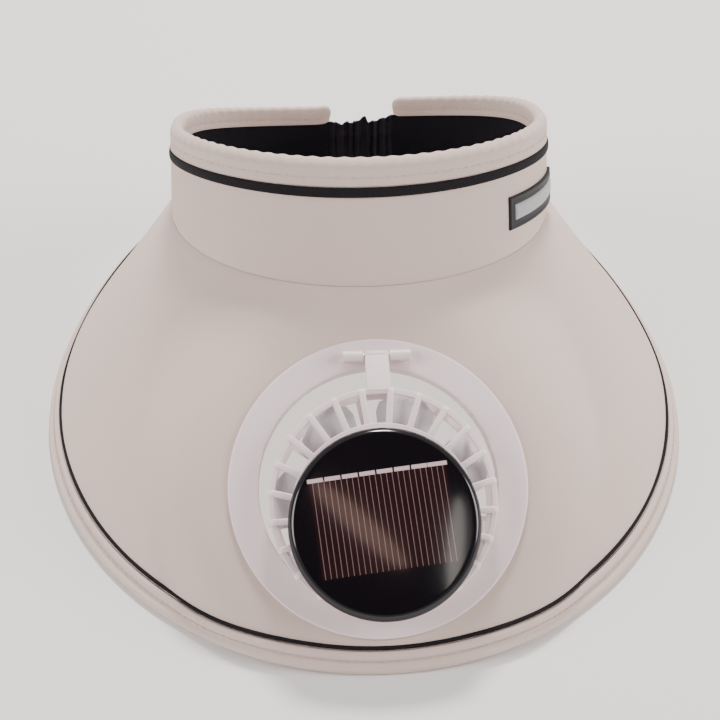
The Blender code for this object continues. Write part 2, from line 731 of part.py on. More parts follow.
def blade_mesh():
    """All blades in one mesh: twisted plates whose roots reach into the hub."""
    shares = [row["share"] for row in BLADE_SHAPE]
    sweeps = [math.radians(row["half_sweep"]) for row in BLADE_SHAPE]
    root = HUB_RADIUS - HUB_WALL / 2
    steps = 4
    middle = (HUB_TOP + HUB_LOW) / 2
    points, faces = [], []
    for blade in range(BLADE_COUNT):
        centre = math.radians(BLADE_PHASE) + 2 * math.pi * blade / BLADE_COUNT
        first = len(points)
        for side in (1, -1):
            for share, sweep in zip(shares, sweeps):
                radius = root + (IMPELLER_RADIUS - root) * share
                for k in range(steps + 1):
                    along = 2.0 * k / steps - 1.0
                    turn = centre + sweep * along
                    height = middle + BLADE_RISE / 2 * along + side * BLADE_THICKNESS / 2
                    points.append((radius * math.sin(turn), radius * math.cos(turn), height))
        rows, wide = len(shares), steps + 1
        back = first + rows * wide
        for r in range(rows - 1):
            for k in range(steps):
                a = first + r * wide + k
                b = back + r * wide + k
                faces.append([a, a + 1, a + wide + 1, a + wide])
                faces.append([b, b + wide, b + wide + 1, b + 1])
        rim = [r * wide for r in range(rows)] + [(rows - 1) * wide + k for k in range(1, wide)]
        rim += [r * wide + steps for r in range(rows - 2, -1, -1)] + list(range(steps - 1, 0, -1))
        for here, after in zip(rim, rim[1:] + rim[:1]):
            faces.append([first + here, first + after, back + after, back + here])
    mesh = bpy.data.meshes.new("blades")
    mesh.from_pydata(points, [], faces)
    tidy(mesh)
    return mesh


def make_impeller():
    place = (0.0, -CAGE_DROP, 0.0)
    bore = SHAFT_RADIUS + RUNNING
    profile = [(bore, HUB_TOP), (HUB_RADIUS - HUB_WALL / 2, HUB_TOP), (HUB_RADIUS, HUB_TOP - HUB_WALL / 2),
               (HUB_RADIUS, HUB_LOW), (bore, HUB_LOW)]
    impeller = turned("impeller", profile, PALE_PLASTIC, steps=32, parent=HINGE, place=place)
    blades = add_object("blades", blade_mesh(), None, HINGE)
    blades.location = place
    combine(impeller, blades, "UNION")
    return impeller


# Solar cap and cell, on the cap seat

def cap_rise(radius):
    """Height of the cap's domed top above its seat."""
    flat = CAP_RADIUS - CAP_EDGE
    return CAP_HEIGHT - CAP_DOME * (radius / flat) ** 2


def make_cap():
    seat = CAGE_TOP + GAP - HINGE_LEVEL
    flat = CAP_RADIUS - CAP_EDGE
    crown = [(flat * k / 5, seat + cap_rise(flat * k / 5)) for k in range(6)]
    edge_low = seat + CAP_FOOT
    edge_high = seat + cap_rise(flat)
    edge = []
    for k in range(1, 6):
        turn = math.pi / 2 * k / 5
        edge.append((flat + CAP_EDGE * math.sin(turn), edge_low + (edge_high - edge_low) * math.cos(turn)))
    profile = crown + edge + [(CAP_RADIUS - CAP_FOOT, seat), (0.0, seat)]
    place = (0.0, -CAGE_DROP - CAP_OFFSET, 0.0)
    cap = turned("solar_cap", profile, BLACK_GLOSS, parent=HINGE, place=place)
    pocket = cell_plate("cell_pocket", None, GAP, -CELL_THICKNESS - GAP, CAP_DOME)
    combine(cap, pocket, "DIFFERENCE")
    cell_plate("solar_cell", CELL_BLUE, 0.0, -CELL_THICKNESS, 0.0)


def cell_plate(name, look, margin, low, high):
    """Plate that follows the dome, between two offsets from it."""
    seat = CAGE_TOP + GAP - HINGE_LEVEL
    turn = Matrix.Rotation(math.radians(CELL_TURN), 4, "Z")
    shift = turn @ Vector((CELL_SIDE, CELL_UP, 0.0))
    centre = Vector((0.0, -CAGE_DROP - CAP_OFFSET, 0.0))
    sections = []
    for k in range(7):
        x = (k / 6 - 0.5) * (CELL_WIDTH + 2 * margin)
        loop = []
        for side in (low, high):
            rows = range(5) if side == low else range(4, -1, -1)
            for row in rows:
                y = (row / 4 - 0.5) * (CELL_HEIGHT + 2 * margin)
                spot = shift + turn @ Vector((x, y, 0.0))
                radius = math.hypot(spot.x, spot.y)
                loop.append(centre + spot + Vector((0.0, 0.0, seat + cap_rise(radius) + side)))
        sections.append(loop)
    made = loft(name, sections, look)
    made.parent = HINGE
    return made


def rest_on_floor():
    """Moves the whole part so that its box is centred over the origin and stands on the floor."""
    bpy.context.view_layer.update()
    depsgraph = bpy.context.evaluated_depsgraph_get()
    corners = []
    for item in PARTS.objects:
        if item.type == "MESH":
            ready = item.evaluated_get(depsgraph)
            corners += [ready.matrix_world @ corner.co for corner in ready.data.vertices]
    low = [min(corner[axis] for corner in corners) for axis in range(3)]
    high = [max(corner[axis] for corner in corners) for axis in range(3)]
    shift = Vector((-(low[0] + high[0]) / 2, -(low[1] + high[1]) / 2, -low[2]))
    for item in list(PARTS.objects) + list(CUTTERS.objects):
        if item.parent is None:
            item.location = item.location + shift


def frame_empty(name, place, turn_x, parent=None):
    made = bpy.data.objects.new(name, None)
    PARTS.objects.link(made)
    made.parent = parent
    made.location = place
    made.rotation_euler = (turn_x, 0.0, 0.0)
    return made


clear_scene()
PARTS = new_collection("fan_visor")
CUTTERS = new_collection("cutters")

FABRIC = material("greige_fabric", (0.56, 0.48, 0.44), 0.85)
BLACK_CLOTH = material("black_lining", (0.012, 0.011, 0.016), 0.9)
BLACK_CORD = material("black_piping", (0.02, 0.017, 0.018), 0.6)
BLACK_PLASTIC = material("patch_black", (0.03, 0.028, 0.03), 0.5)
GREY_PLASTIC = material("patch_grey", (0.45, 0.44, 0.45), 0.5)
WHITE_PLASTIC = material("white_plastic", (0.72, 0.66, 0.70), 0.4)
PALE_PLASTIC = material("blade_plastic", (0.60, 0.58, 0.62), 0.4)
BLACK_GLOSS = material("cap_black", (0.01, 0.008, 0.01), 0.08)
CELL_BLUE = material("cell_dark", (0.03, 0.012, 0.016), 0.12)
STEEL = material("steel", (0.55, 0.55, 0.56), 0.3, 1.0)

# Levels above the brim's outer face at the ring
FLANGE_TOP = GAP + FLANGE_THICKNESS
HINGE_LEVEL = FLANGE_TOP + BARREL_LIFT + BARREL_RADIUS
REAR_LOW = FLANGE_TOP + CAGE_LIFT
REAR_TOP = REAR_LOW + GRILLE_THICKNESS
CAGE_TOP = REAR_LOW + CAGE_DEPTH

# Levels above the hinge's axis
MOTOR_TOP = REAR_TOP - HINGE_LEVEL
MOTOR_LOW = MOTOR_TOP - MOTOR_LENGTH
HUB_LOW = MOTOR_TOP + SPIN_GAP
HUB_TOP = CAGE_TOP - SPOKE_DEPTH - SPIN_GAP - HINGE_LEVEL

TOPS, ENDS = brim_ends()
CENTRE, DOWN, OUT = ring_plane(TOPS, ENDS)
RING = frame_empty("ring_frame", tuple(CENTRE), math.atan2(-DOWN[2], -DOWN[1]))
HINGE = frame_empty("hinge_frame", (HINGE_SIDE, HINGE_UP, HINGE_LEVEL), 0.0, RING)
bpy.context.view_layer.update()

make_band()
make_lining()
make_roll()
make_rim_piping()
make_elastic()
make_patch()
make_brim(TOPS, ENDS)
make_binding(TOPS, ENDS)
make_bead(TOPS, ENDS)
make_ring()
make_cage_front()
make_cage_back()
make_motor()
make_impeller()
make_cap()
rest_on_floor()
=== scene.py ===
"""Dressed scene for the fan visor: cloth, lining, padded rim, trim, moulded fan, cap and a plain studio.

Every size is in metres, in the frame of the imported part.
"""
import math

import bmesh
import bpy
import numpy as np
from bpy.props import FloatProperty, FloatVectorProperty, PointerProperty
from mathutils import Matrix, Vector


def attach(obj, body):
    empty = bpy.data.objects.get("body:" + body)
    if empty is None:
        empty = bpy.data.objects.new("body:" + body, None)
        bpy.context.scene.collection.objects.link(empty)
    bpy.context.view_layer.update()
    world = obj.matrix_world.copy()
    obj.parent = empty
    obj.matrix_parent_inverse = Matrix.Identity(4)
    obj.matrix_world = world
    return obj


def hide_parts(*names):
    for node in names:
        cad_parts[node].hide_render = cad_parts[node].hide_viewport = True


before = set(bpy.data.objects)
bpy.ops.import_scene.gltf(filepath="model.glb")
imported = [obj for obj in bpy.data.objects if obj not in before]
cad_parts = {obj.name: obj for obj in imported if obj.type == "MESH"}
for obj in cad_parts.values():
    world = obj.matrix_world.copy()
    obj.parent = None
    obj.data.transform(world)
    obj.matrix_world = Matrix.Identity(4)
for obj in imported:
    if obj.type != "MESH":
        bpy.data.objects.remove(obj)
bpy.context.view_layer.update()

bl_info = {
    "name": "Fan Visor",
    "version": (1, 0, 0),
    "blender": (4, 5, 0),
    "location": "View3D > Sidebar > Fan Visor",
    "description": "Dresses the packed fan visor and sets its studio",
    "category": "Object",
}

# Crown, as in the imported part
HEAD_Y = 0.057412
HEAD_HALF_WIDTH = 0.0900
HEAD_HALF_DEPTH = 0.0920
BACK_SQUARENESS = 2.48
BACK_GAP = 0.0340
BACK_GAP_SIDE = 0.0055
BACK_DIP = 0.0120
SEAM_HEIGHT = 0.0880
CROWN_TILT = math.radians(10.9)
RIM_HALF_WIDTH = 0.0872
RIM_HALF_DEPTH = 0.0794
FRONT_HEIGHT = 0.0528
SIDE_HEIGHTS = (0.0430, 0.0442)
BACK_HEIGHTS = (0.0223, 0.0262)
SIDE_BLEND = 0.36
BAND_WALL = 0.0020
LINING_WALL = 0.0009
ROLL_THICKNESS = 0.0060
ROLL_DEPTH = 0.0112
ROLL_PROUD = 0.0006
ROLL_END = 0.0050
PIPING_HEIGHT = 0.0042
PIPING_THICKNESS = 0.0013
HEM_DROP = 0.0011
GAP = 0.0003
MERGE = 0.00001

# Finer forms of the cloth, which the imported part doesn't have
BAND_BULGE = 0.00035
BAND_RIPPLE = 0.00012
HEM_PULL = 0.0007
LINING_RIPPLE = 0.00022
RIM_STITCH_DROP = 0.0077
RIM_STITCH_DIP = 0.0006
RIM_STITCH_SPREAD = 0.0008
BRIM_SWELL = 0.00022
BRIM_TUCK = 0.0005
BRIM_TUCK_SPREAD = 0.0016
BRIM_CUT_RADIUS = 0.0545
BINDING_GROOVE = 0.0030
BINDING_PUCKER_PITCH = 0.0052
THREAD_SINK = 0.00025
FOLD_COUNT = 7
FOLD_DEPTH = 0.0011
FOLD_PINCH = 0.0003
GATHER_TOPS = (  # share of the gap's length, height of the top edge
    (0.0, 0.0112), (0.17, 0.0092), (0.27, 0.0104), (0.36, 0.0098), (0.46, 0.0116), (0.56, 0.0138),
    (0.62, 0.0100), (0.70, 0.0106), (0.78, 0.0114), (0.88, 0.0128), (1.0, 0.0148))

# Patch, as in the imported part
PATCH_LENGTH = 0.0600
PATCH_HEIGHT = 0.0146
PATCH_FRONT = 0.0710
PATCH_RISE = 0.0112
PATCH_BORDER = 0.0038

# Brim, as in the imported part
BRIM_HALF_WIDTH = 0.1529
BRIM_REACH = 0.1774
BRIM_SETBACK = 0.0367
BRIM_WALL = 0.0020
BACK_RISE = 2.00
TAIL_WIDTH = 0.0180
TAIL_SLOPE = math.radians(45.0)
TAIL_GAP = 0.0500
BINDING_WIDTH = 0.0072
BINDING_THICKNESS = 0.0040
BEAD_RADIUS = 0.0011
CORD_RADIUS = 0.0009
FLAT_MARGIN = 0.0050
FLAT_FADE = 0.0550
EDGE_FADE = 0.0320

# Ring, hinge and fan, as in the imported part
RING_DROP = 0.0861
RING_RADIUS = 0.0628
HOLE_RADIUS = 0.0500
FLANGE_THICKNESS = 0.0016
COLLAR_WALL = 0.0018
COLLAR_DEPTH = 0.0056
HINGE_SIDE = 0.0013
HINGE_UP = 0.0549
HINGE_LEVEL = 0.0047
BARREL_RADIUS = 0.0024
ARM_WIDTH = 0.0100
KNUCKLE_LENGTH = 0.0090
KNUCKLE_FOOT = 0.0034
HINGE_PLAY = 0.0004
ARM_THICKNESS = 0.0024
CAGE_DROP = 0.0619
CAGE_RADIUS = 0.0477
CAGE_FOOT = 0.0043
SPOKE_COUNT = 24
SPOKE_TURN = 1.3
SPOKE_WIDTH = 0.0027
SPOKE_DEPTH = 0.0020
BAND_WIDTH = 0.0026
BAND_SET_DOWN = 0.0006
SEAT_RADIUS = 0.0385
SEAT_OFFSET = 0.0063
CAGE_TOP = 0.0126
CAP_RADIUS = 0.0394
CAP_OFFSET = 0.0097
CAP_HEIGHT = 0.0080
CAP_DOME = 0.0019
CAP_EDGE = 0.0028
CAP_FOOT = 0.0022

# Busbar and fingers of the cell, in its own turned frame
CELL_TURN = math.radians(6.0)
BAR_SIDE = -0.0005
BAR_UP = 0.0208
BAR_HALF = 0.0289
BAR_WIDTH = 0.0017
DASH_START = 0.0004
DASH_PITCH = 0.00712
FINGER_SIDE = -0.00025
FINGER_PITCH = 0.00232
FINGER_LENGTH = 0.0400
FINGER_COUNT = 24
FINGER_SOFTNESS = 0.0001
PRINT_SOFTNESS = 0.0003

# Camera, found from the photograph
CAMERA_TARGET = Vector((-0.00463, -0.04018, 0.07014))
CAMERA_DISTANCE = 0.65329
CAMERA_ELEVATION = math.radians(39.67)
CAMERA_AZIMUTH = math.radians(-2.92)
CAMERA_LENS = 74.23


def smoothstep(value):
    share = np.clip(value, 0.0, 1.0)
    return share * share * (3.0 - 2.0 * share)


def unit(vectors):
    return vectors / np.linalg.norm(vectors, axis=-1, keepdims=True)


def run_lengths(points):
    steps = np.linalg.norm(np.diff(points, axis=0), axis=1)
    return np.concatenate([[0.0], np.cumsum(steps)])


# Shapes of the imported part, taken at finer steps

def outline(phi, half_width, half_depth):
    across, along = np.sin(phi), np.cos(phi)
    power = np.where(along < 0, 2.0 / BACK_SQUARENESS, 1.0)
    x = np.sign(across) * np.abs(across) ** power * half_width
    y = -np.sign(along) * np.abs(along) ** power * half_depth
    return x, y


def rim_height(phi):
    along = np.cos(phi)
    blend = smoothstep(0.5 + np.sin(phi) / SIDE_BLEND)
    side = SIDE_HEIGHTS[0] + (SIDE_HEIGHTS[1] - SIDE_HEIGHTS[0]) * blend
    back = BACK_HEIGHTS[0] + (BACK_HEIGHTS[1] - BACK_HEIGHTS[0]) * blend
    return side + (FRONT_HEIGHT - back) / 2 * along + ((FRONT_HEIGHT + back) / 2 - side) * along ** 2


def crown_point(phi, height, inset):
    share = np.maximum(height, 0.0) / rim_height(phi)
    half_width = HEAD_HALF_WIDTH + (RIM_HALF_WIDTH - HEAD_HALF_WIDTH) * share - inset
    half_depth = HEAD_HALF_DEPTH + (RIM_HALF_DEPTH - HEAD_HALF_DEPTH) * share - inset
    x, y = outline(phi, half_width, half_depth)
    back = HEAD_Y + y * math.cos(CROWN_TILT) + height * math.sin(CROWN_TILT)
    up = SEAM_HEIGHT - y * math.sin(CROWN_TILT) + height * math.cos(CROWN_TILT)
    return np.stack(np.broadcast_arrays(x, back, up), axis=-1)


def seam_height(phi):
    return -BACK_DIP * smoothstep((-np.cos(phi) - 0.25) / 0.75)


def seam_run(phi):
    """Length along the band's seam line at each angle."""
    return run_lengths(crown_point(phi, 0.0 * phi, 0.0))


def band_top(phi):
    return rim_height(phi) - ROLL_DEPTH - GAP


def seam_angles(count, gap, side=0.0):
    """Angles of evenly spaced stations along the seam, less a gap at the back that may lie to one side."""
    phi = np.linspace(-math.pi, math.pi, 4001)
    run = seam_run(phi)
    return np.interp(np.linspace(gap / 2 - side, run[-1] - gap / 2 - side, count), run, phi)


def brim_ends(count):
    """Upper and lower ends of the brim's rulings at the given number of stations."""
    phi = seam_angles(count, TAIL_GAP)
    tops = crown_point(phi, seam_height(phi) - BRIM_WALL / 2 - GAP / 2, BRIM_WALL * 0.4)
    rest = BINDING_THICKNESS / 2
    base = HEAD_Y - BRIM_SETBACK
    turn = np.linspace(0.0, math.pi / 2, 600)
    sine, cosine = np.sin(turn), np.cos(turn)
    front = np.stack([BRIM_HALF_WIDTH * sine, base - BRIM_REACH * cosine, np.full_like(turn, rest)], -1)
    tail = crown_point(phi[-1:], seam_height(phi[-1:]), 0.0)[0]
    tail = tail + np.array([0.0, math.cos(TAIL_SLOPE), -math.sin(TAIL_SLOPE)]) * TAIL_WIDTH
    x = tail[0] + (BRIM_HALF_WIDTH - tail[0]) * cosine
    y = base + (tail[1] - base) * sine
    z = rest + (tail[2] - rest) * sine ** BACK_RISE
    line = np.concatenate([front, np.stack([x, y, z], -1)[1:]])
    run = run_lengths(line)
    even = np.linspace(0.0, run[-1], count // 2 + 1)
    right = np.stack([np.interp(even, run, line[:, axis]) for axis in range(3)], -1)
    left = right[::-1] * np.array([-1.0, 1.0, 1.0])
    return tops, np.concatenate([left[:-1], right])


def ring_plane(tops, ends):
    middle = len(tops) // 2
    down = unit(ends[middle] - tops[middle])
    out = unit(np.array([0.0, down[2], -down[1]]))
    return tops[middle] + down * RING_DROP + out * BRIM_WALL / 2, down, out


def brim_points(tops, ends, share):
    centre, down, out = ring_plane(tops, ends)
    share = np.broadcast_to(share, (len(tops),))
    middle = len(tops) // 2
    length = np.linalg.norm(ends[middle] - tops[middle])
    points = tops + (ends - tops) * share[:, None]
    offset = points - centre
    depth = offset @ out + BRIM_WALL / 2
    radius = np.hypot(offset[:, 0], offset @ down)
    reach = FLAT_FADE + (EDGE_FADE - FLAT_FADE) * smoothstep(share)
    fade = 1.0 - smoothstep((radius - RING_RADIUS - FLAT_MARGIN) / reach)
    fade = fade * smoothstep(share * length / (RING_DROP - RING_RADIUS))
    return points - out * (depth * fade)[:, None]


def edge_frames(tops, ends):
    line = brim_points(tops, ends, 1.0)
    along = unit(np.gradient(line, axis=0))
    length = np.linalg.norm(ends - tops, axis=1)
    inward = unit(brim_points(tops, ends, 1.0 - BINDING_WIDTH / length) - line)
    up = unit(np.cross(inward, along))
    up = up * np.sign(up[:, 2:3])
    level = unit(inward - along * np.sum(inward * along, axis=1, keepdims=True))
    square = unit(np.cross(along, level))
    square = square * np.sign(np.sum(square * up, axis=1))[:, None]
    return line, level, square


# Mesh and piece helpers

def sheet_mesh(name, grid, uv, closed, caps):
    """Mesh of quads from a grid of points, the last axis of the grid closed into loops or left open."""
    rows, count = grid.shape[:2]
    mesh = bpy.data.meshes.new(name)
    here = np.arange(rows * count).reshape(rows, count)
    ahead = np.roll(here, -1, axis=1) if closed else here[:, 1:]
    base = here if closed else here[:, :-1]
    quads = np.stack([base[:-1], ahead[:-1], ahead[1:], base[1:]], axis=-1).reshape(-1, 4)
    faces = quads.tolist()
    if caps:
        faces += [here[0][::-1].tolist(), here[-1].tolist()]
    mesh.from_pydata(grid.reshape(-1, 3).tolist(), [], faces)
    layer = mesh.uv_layers.new(name="cloth")
    corner = np.zeros(len(mesh.loops), dtype=np.int32)
    mesh.loops.foreach_get("vertex_index", corner)
    layer.data.foreach_set("uv", uv.reshape(-1, 2)[corner].ravel().astype(np.float32))
    mesh.shade_smooth()
    return mesh


def place(mesh, look, body, nodes=(), sharp=None):
    """Makes a piece of a mesh, riding on a body and standing for some CAD nodes."""
    old = bpy.data.objects.get(mesh.name)
    if old:
        bpy.data.objects.remove(old, do_unlink=True)
    if sharp:
        mesh.set_sharp_from_angle(angle=math.radians(sharp))
    piece = bpy.data.objects.new(mesh.name, mesh)
    bpy.context.scene.collection.objects.link(piece)
    mesh.materials.clear()
    mesh.materials.append(look)
    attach(piece, body)
    if nodes:
        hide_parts(*nodes)
    return piece


def edit(mesh, change):
    """Changes a mesh by a function of its bmesh."""
    work = bmesh.new()
    work.from_mesh(mesh)
    change(work)
    work.to_mesh(mesh)
    work.free()


def face_outwards(mesh):
    """Turns a closed mesh's faces outwards."""
    edit(mesh, lambda work: bmesh.ops.recalc_face_normals(work, faces=work.faces))


def weld(mesh):
    """Joins the points that meet, as where a turned mesh closes."""
    edit(mesh, lambda work: bmesh.ops.remove_doubles(work, verts=work.verts, dist=MERGE))
    face_outwards(mesh)


def swept(name, corners, along, look, nodes):
    """Closed sweep: corners is an array of stations by section points, along the running length."""
    girth = np.concatenate([np.zeros((len(corners), 1)),
                            np.cumsum(np.linalg.norm(np.diff(corners, axis=1), axis=2), axis=1)], axis=1)
    uv = np.stack([np.broadcast_to(along[:, None], girth.shape), girth], axis=-1)
    mesh = sheet_mesh(name, corners, uv, True, True)
    face_outwards(mesh)
    return place(mesh, look, "visor", nodes)


def turned_mesh(name, profile, steps, centre, across, up, out):
    """Mesh turned about an axis through centre along out, from radius and level pairs."""
    turn = np.linspace(0.0, 2 * math.pi, steps, endpoint=False)
    radius = np.array([row[0] for row in profile])
    level = np.array([row[1] for row in profile])
    sine, cosine = np.sin(turn)[:, None, None], np.cos(turn)[:, None, None]
    grid = centre + radius[None, :, None] * (across * sine + up * cosine) + level[None, :, None] * out
    grid = np.concatenate([grid, grid[:1]])
    flat = np.stack([radius[None, :] * sine[:, :, 0], radius[None, :] * cosine[:, :, 0]], axis=-1)
    flat = np.concatenate([flat, flat[:1]])
    return sheet_mesh(name, grid, flat, False, False)


def joined(name, meshes):
    """One mesh of several."""
    work = bmesh.new()
    for mesh in meshes:
        work.from_mesh(mesh)
    whole = bpy.data.meshes.new(name)
    work.to_mesh(whole)
    work.free()
    return whole


def ring_axes():
    """Centre of the ring on the brim's outer face, with its across, up-slope and outward directions."""
    tops, ends = brim_ends(65)
    centre, down, out = ring_plane(tops, ends)
    return centre, np.array([1.0, 0.0, 0.0]), -down, out


# Shader helpers

class Sock:
    """A shader socket that can be reckoned with."""

    def __init__(self, tree, socket):
        self.tree = tree
        self.socket = socket

    def math(self, operation, *others, flip=False):
        node = self.tree.nodes.new("ShaderNodeMath")
        node.operation = operation
        values = [self, *others]
        if flip:
            values.reverse()
        for index, value in enumerate(values):
            if isinstance(value, Sock):
                self.tree.links.new(value.socket, node.inputs[index])
            else:
                node.inputs[index].default_value = value
        return Sock(self.tree, node.outputs[0])

    def __add__(self, other):
        return self.math("ADD", other)

    __radd__ = __add__

    def __sub__(self, other):
        return self.math("SUBTRACT", other)

    def __rsub__(self, other):
        return self.math("SUBTRACT", other, flip=True)

    def __mul__(self, other):
        return self.math("MULTIPLY", other)

    __rmul__ = __mul__

    def __truediv__(self, other):
        return self.math("DIVIDE", other)

    def __rtruediv__(self, other):
        return self.math("DIVIDE", other, flip=True)

    def below(self, edge, soft):
        """1 where this is below an edge, falling to 0 over a soft width."""
        node = self.tree.nodes.new("ShaderNodeMapRange")
        node.interpolation_type = "SMOOTHSTEP"
        self.tree.links.new(self.socket, node.inputs["Value"])
        node.inputs["From Min"].default_value = edge - soft / 2
        node.inputs["From Max"].default_value = edge + soft / 2
        node.inputs["To Min"].default_value = 1.0
        node.inputs["To Max"].default_value = 0.0
        return Sock(self.tree, node.outputs["Result"])


class Look:
    """A material being built round its Principled shader."""

    def __init__(self, name, colour, roughness, metallic=0.0):
        old = bpy.data.materials.get(name)
        if old:
            bpy.data.materials.remove(old)
        self.material = bpy.data.materials.new(name)
        self.material.use_nodes = True
        self.material.diffuse_color = (*colour, 1.0)
        self.tree = self.material.node_tree
        self.shader = self.tree.nodes["Principled BSDF"]
        self.set("Base Color", (*colour, 1.0))
        self.set("Roughness", roughness)
        self.set("Metallic", metallic)

    def set(self, name, value):
        if isinstance(value, Sock):
            self.tree.links.new(value.socket, self.shader.inputs[name])
        else:
            self.shader.inputs[name].default_value = value

    def node(self, kind, output, values=None, links=None, **settings):
        made = self.tree.nodes.new(kind)
        for key, value in settings.items():
            setattr(made, key, value)
        for key, value in (values or {}).items():
            made.inputs[key].default_value = value
        for key, value in (links or {}).items():
            self.tree.links.new(value.socket, made.inputs[key])
        return Sock(self.tree, made.outputs[output])

    def place(self):
        return self.node("ShaderNodeTexCoord", "Object")

    def cloth_uv(self):
        return self.node("ShaderNodeUVMap", "UV", uv_map="cloth")

    def noise(self, where, scale, detail=3.0):
        return self.node("ShaderNodeTexNoise", "Fac", {"Scale": scale, "Detail": detail}, {"Vector": where})

    def split(self, vector):
        made = self.tree.nodes.new("ShaderNodeSeparateXYZ")
        self.tree.links.new(vector.socket, made.inputs[0])
        return [Sock(self.tree, made.outputs[axis]) for axis in range(3)]

    def mix(self, share, first, second):
        made = self.tree.nodes.new("ShaderNodeMix")
        made.data_type = "RGBA"
        for key, value in ((0, share), (6, first), (7, second)):
            if isinstance(value, Sock):
                self.tree.links.new(value.socket, made.inputs[key])
            else:
                made.inputs[key].default_value = value
        return Sock(self.tree, made.outputs[2])

    def bump(self, height, distance, strength=1.0):
        self.set("Normal", self.node("ShaderNodeBump", "Normal", {"Distance": distance, "Strength": strength},
                                     {"Height": height}))


def cloth_look(name, colour, pitch, depth, variation=0.06, roughness=0.88):
    look = Look(name, colour, roughness)
    u, v, _ = look.split(look.cloth_uv())
    warp = (u * (2 * math.pi / pitch)).math("SINE")
    weft = (v * (2 * math.pi / pitch)).math("SINE")
    grain = look.noise(look.place(), 900.0, 2.0)
    patch = look.noise(look.place(), 26.0, 3.0)
    height = (warp * weft) * 0.5 + grain
    look.bump(height, depth, 0.7)
    dark = tuple(value * (1.0 - variation) for value in colour)
    light = tuple(min(1.0, value * (1.0 + variation)) for value in colour)
    look.set("Base Color", look.mix(patch * 0.6 + grain * 0.4, (*dark, 1.0), (*light, 1.0)))
    dark_cloth = max(colour) < 0.1
    look.set("Sheen Weight", 0.0 if dark_cloth else 0.12)
    look.set("Specular IOR Level", 0.15 if dark_cloth else 0.5)
    return look.material


def plastic_look(name, colour, roughness=0.34):
    look = Look(name, colour, roughness)
    mottle = look.noise(look.place(), 60.0, 3.0)
    look.set("Roughness", mottle * 0.12 + (roughness - 0.06))
    look.set("Subsurface Weight", 0.08)
    look.set("Subsurface Radius", (0.002, 0.0012, 0.001))
    look.bump(look.noise(look.place(), 500.0, 2.0), 0.00002, 0.5)
    return look.material


def cord_look(name, colour, pitch):
    look = Look(name, colour, 0.72)
    look.set("Specular IOR Level", 0.2)
    u, v, _ = look.split(look.cloth_uv())
    ribs = ((u + v * 0.6) * (2 * math.pi / pitch)).math("SINE")
    look.bump(ribs + look.noise(look.place(), 1500.0, 2.0), 0.00012, 0.8)
    return look.material


def cap_look(name):
    """Glossy black dome over the cell, with its fingers and busbar drawn in the shader."""
    look = Look(name, (0.006, 0.004, 0.005), 0.16)
    u, v, _ = look.split(look.cloth_uv())
    x = u * math.cos(CELL_TURN) + v * math.sin(CELL_TURN)
    y = v * math.cos(CELL_TURN) - u * math.sin(CELL_TURN)
    along = x - BAR_SIDE
    bar = (y - BAR_UP).math("ABSOLUTE").below(BAR_WIDTH / 2, 0.0002)
    bar = bar * along.math("ABSOLUTE").below(BAR_HALF, PRINT_SOFTNESS)
    dashes = ((along + (BAR_HALF - DASH_START)) / DASH_PITCH).math("FRACT").below(0.90, 0.04)
    dashes = dashes.math("MAXIMUM", 1.0 - (along - BAR_HALF).below(-0.0080, 0.0002))
    across = x - FINGER_SIDE
    phase = (across / FINGER_PITCH).math("FRACT") - 0.5
    width = across.math("ABSOLUTE")
    lines = phase.math("ABSOLUTE").below(0.065, 0.05) * width.below(FINGER_PITCH * FINGER_COUNT / 2, FINGER_SOFTNESS)
    lower = BAR_UP - FINGER_LENGTH
    reach = (y - (BAR_UP + lower) / 2).math("ABSOLUTE").below(FINGER_LENGTH / 2, PRINT_SOFTNESS)
    metal = (lines * reach * 0.27).math("MAXIMUM", bar * dashes)
    inside = reach * width.below(FINGER_PITCH * FINGER_COUNT / 2, 0.0020)
    tint = look.mix(look.noise(look.place(), 45.0, 4.0), (0.012, 0.004, 0.005, 1.0), (0.026, 0.009, 0.010, 1.0))
    base = look.mix(inside, (0.005, 0.004, 0.006, 1.0), tint)
    look.set("Base Color", look.mix(metal, base, (0.56, 0.43, 0.44, 1.0)))
    radius = (u * u + v * v).math("SQRT")
    look.set("Coat Weight", radius.below(CAP_RADIUS - CAP_EDGE / 2, CAP_EDGE) * 0.85 + 0.15)
    look.set("Coat Roughness", 0.09)
    look.set("Specular IOR Level", 0.15)
    return look.material


# Stitches, laid along paths by a node tree

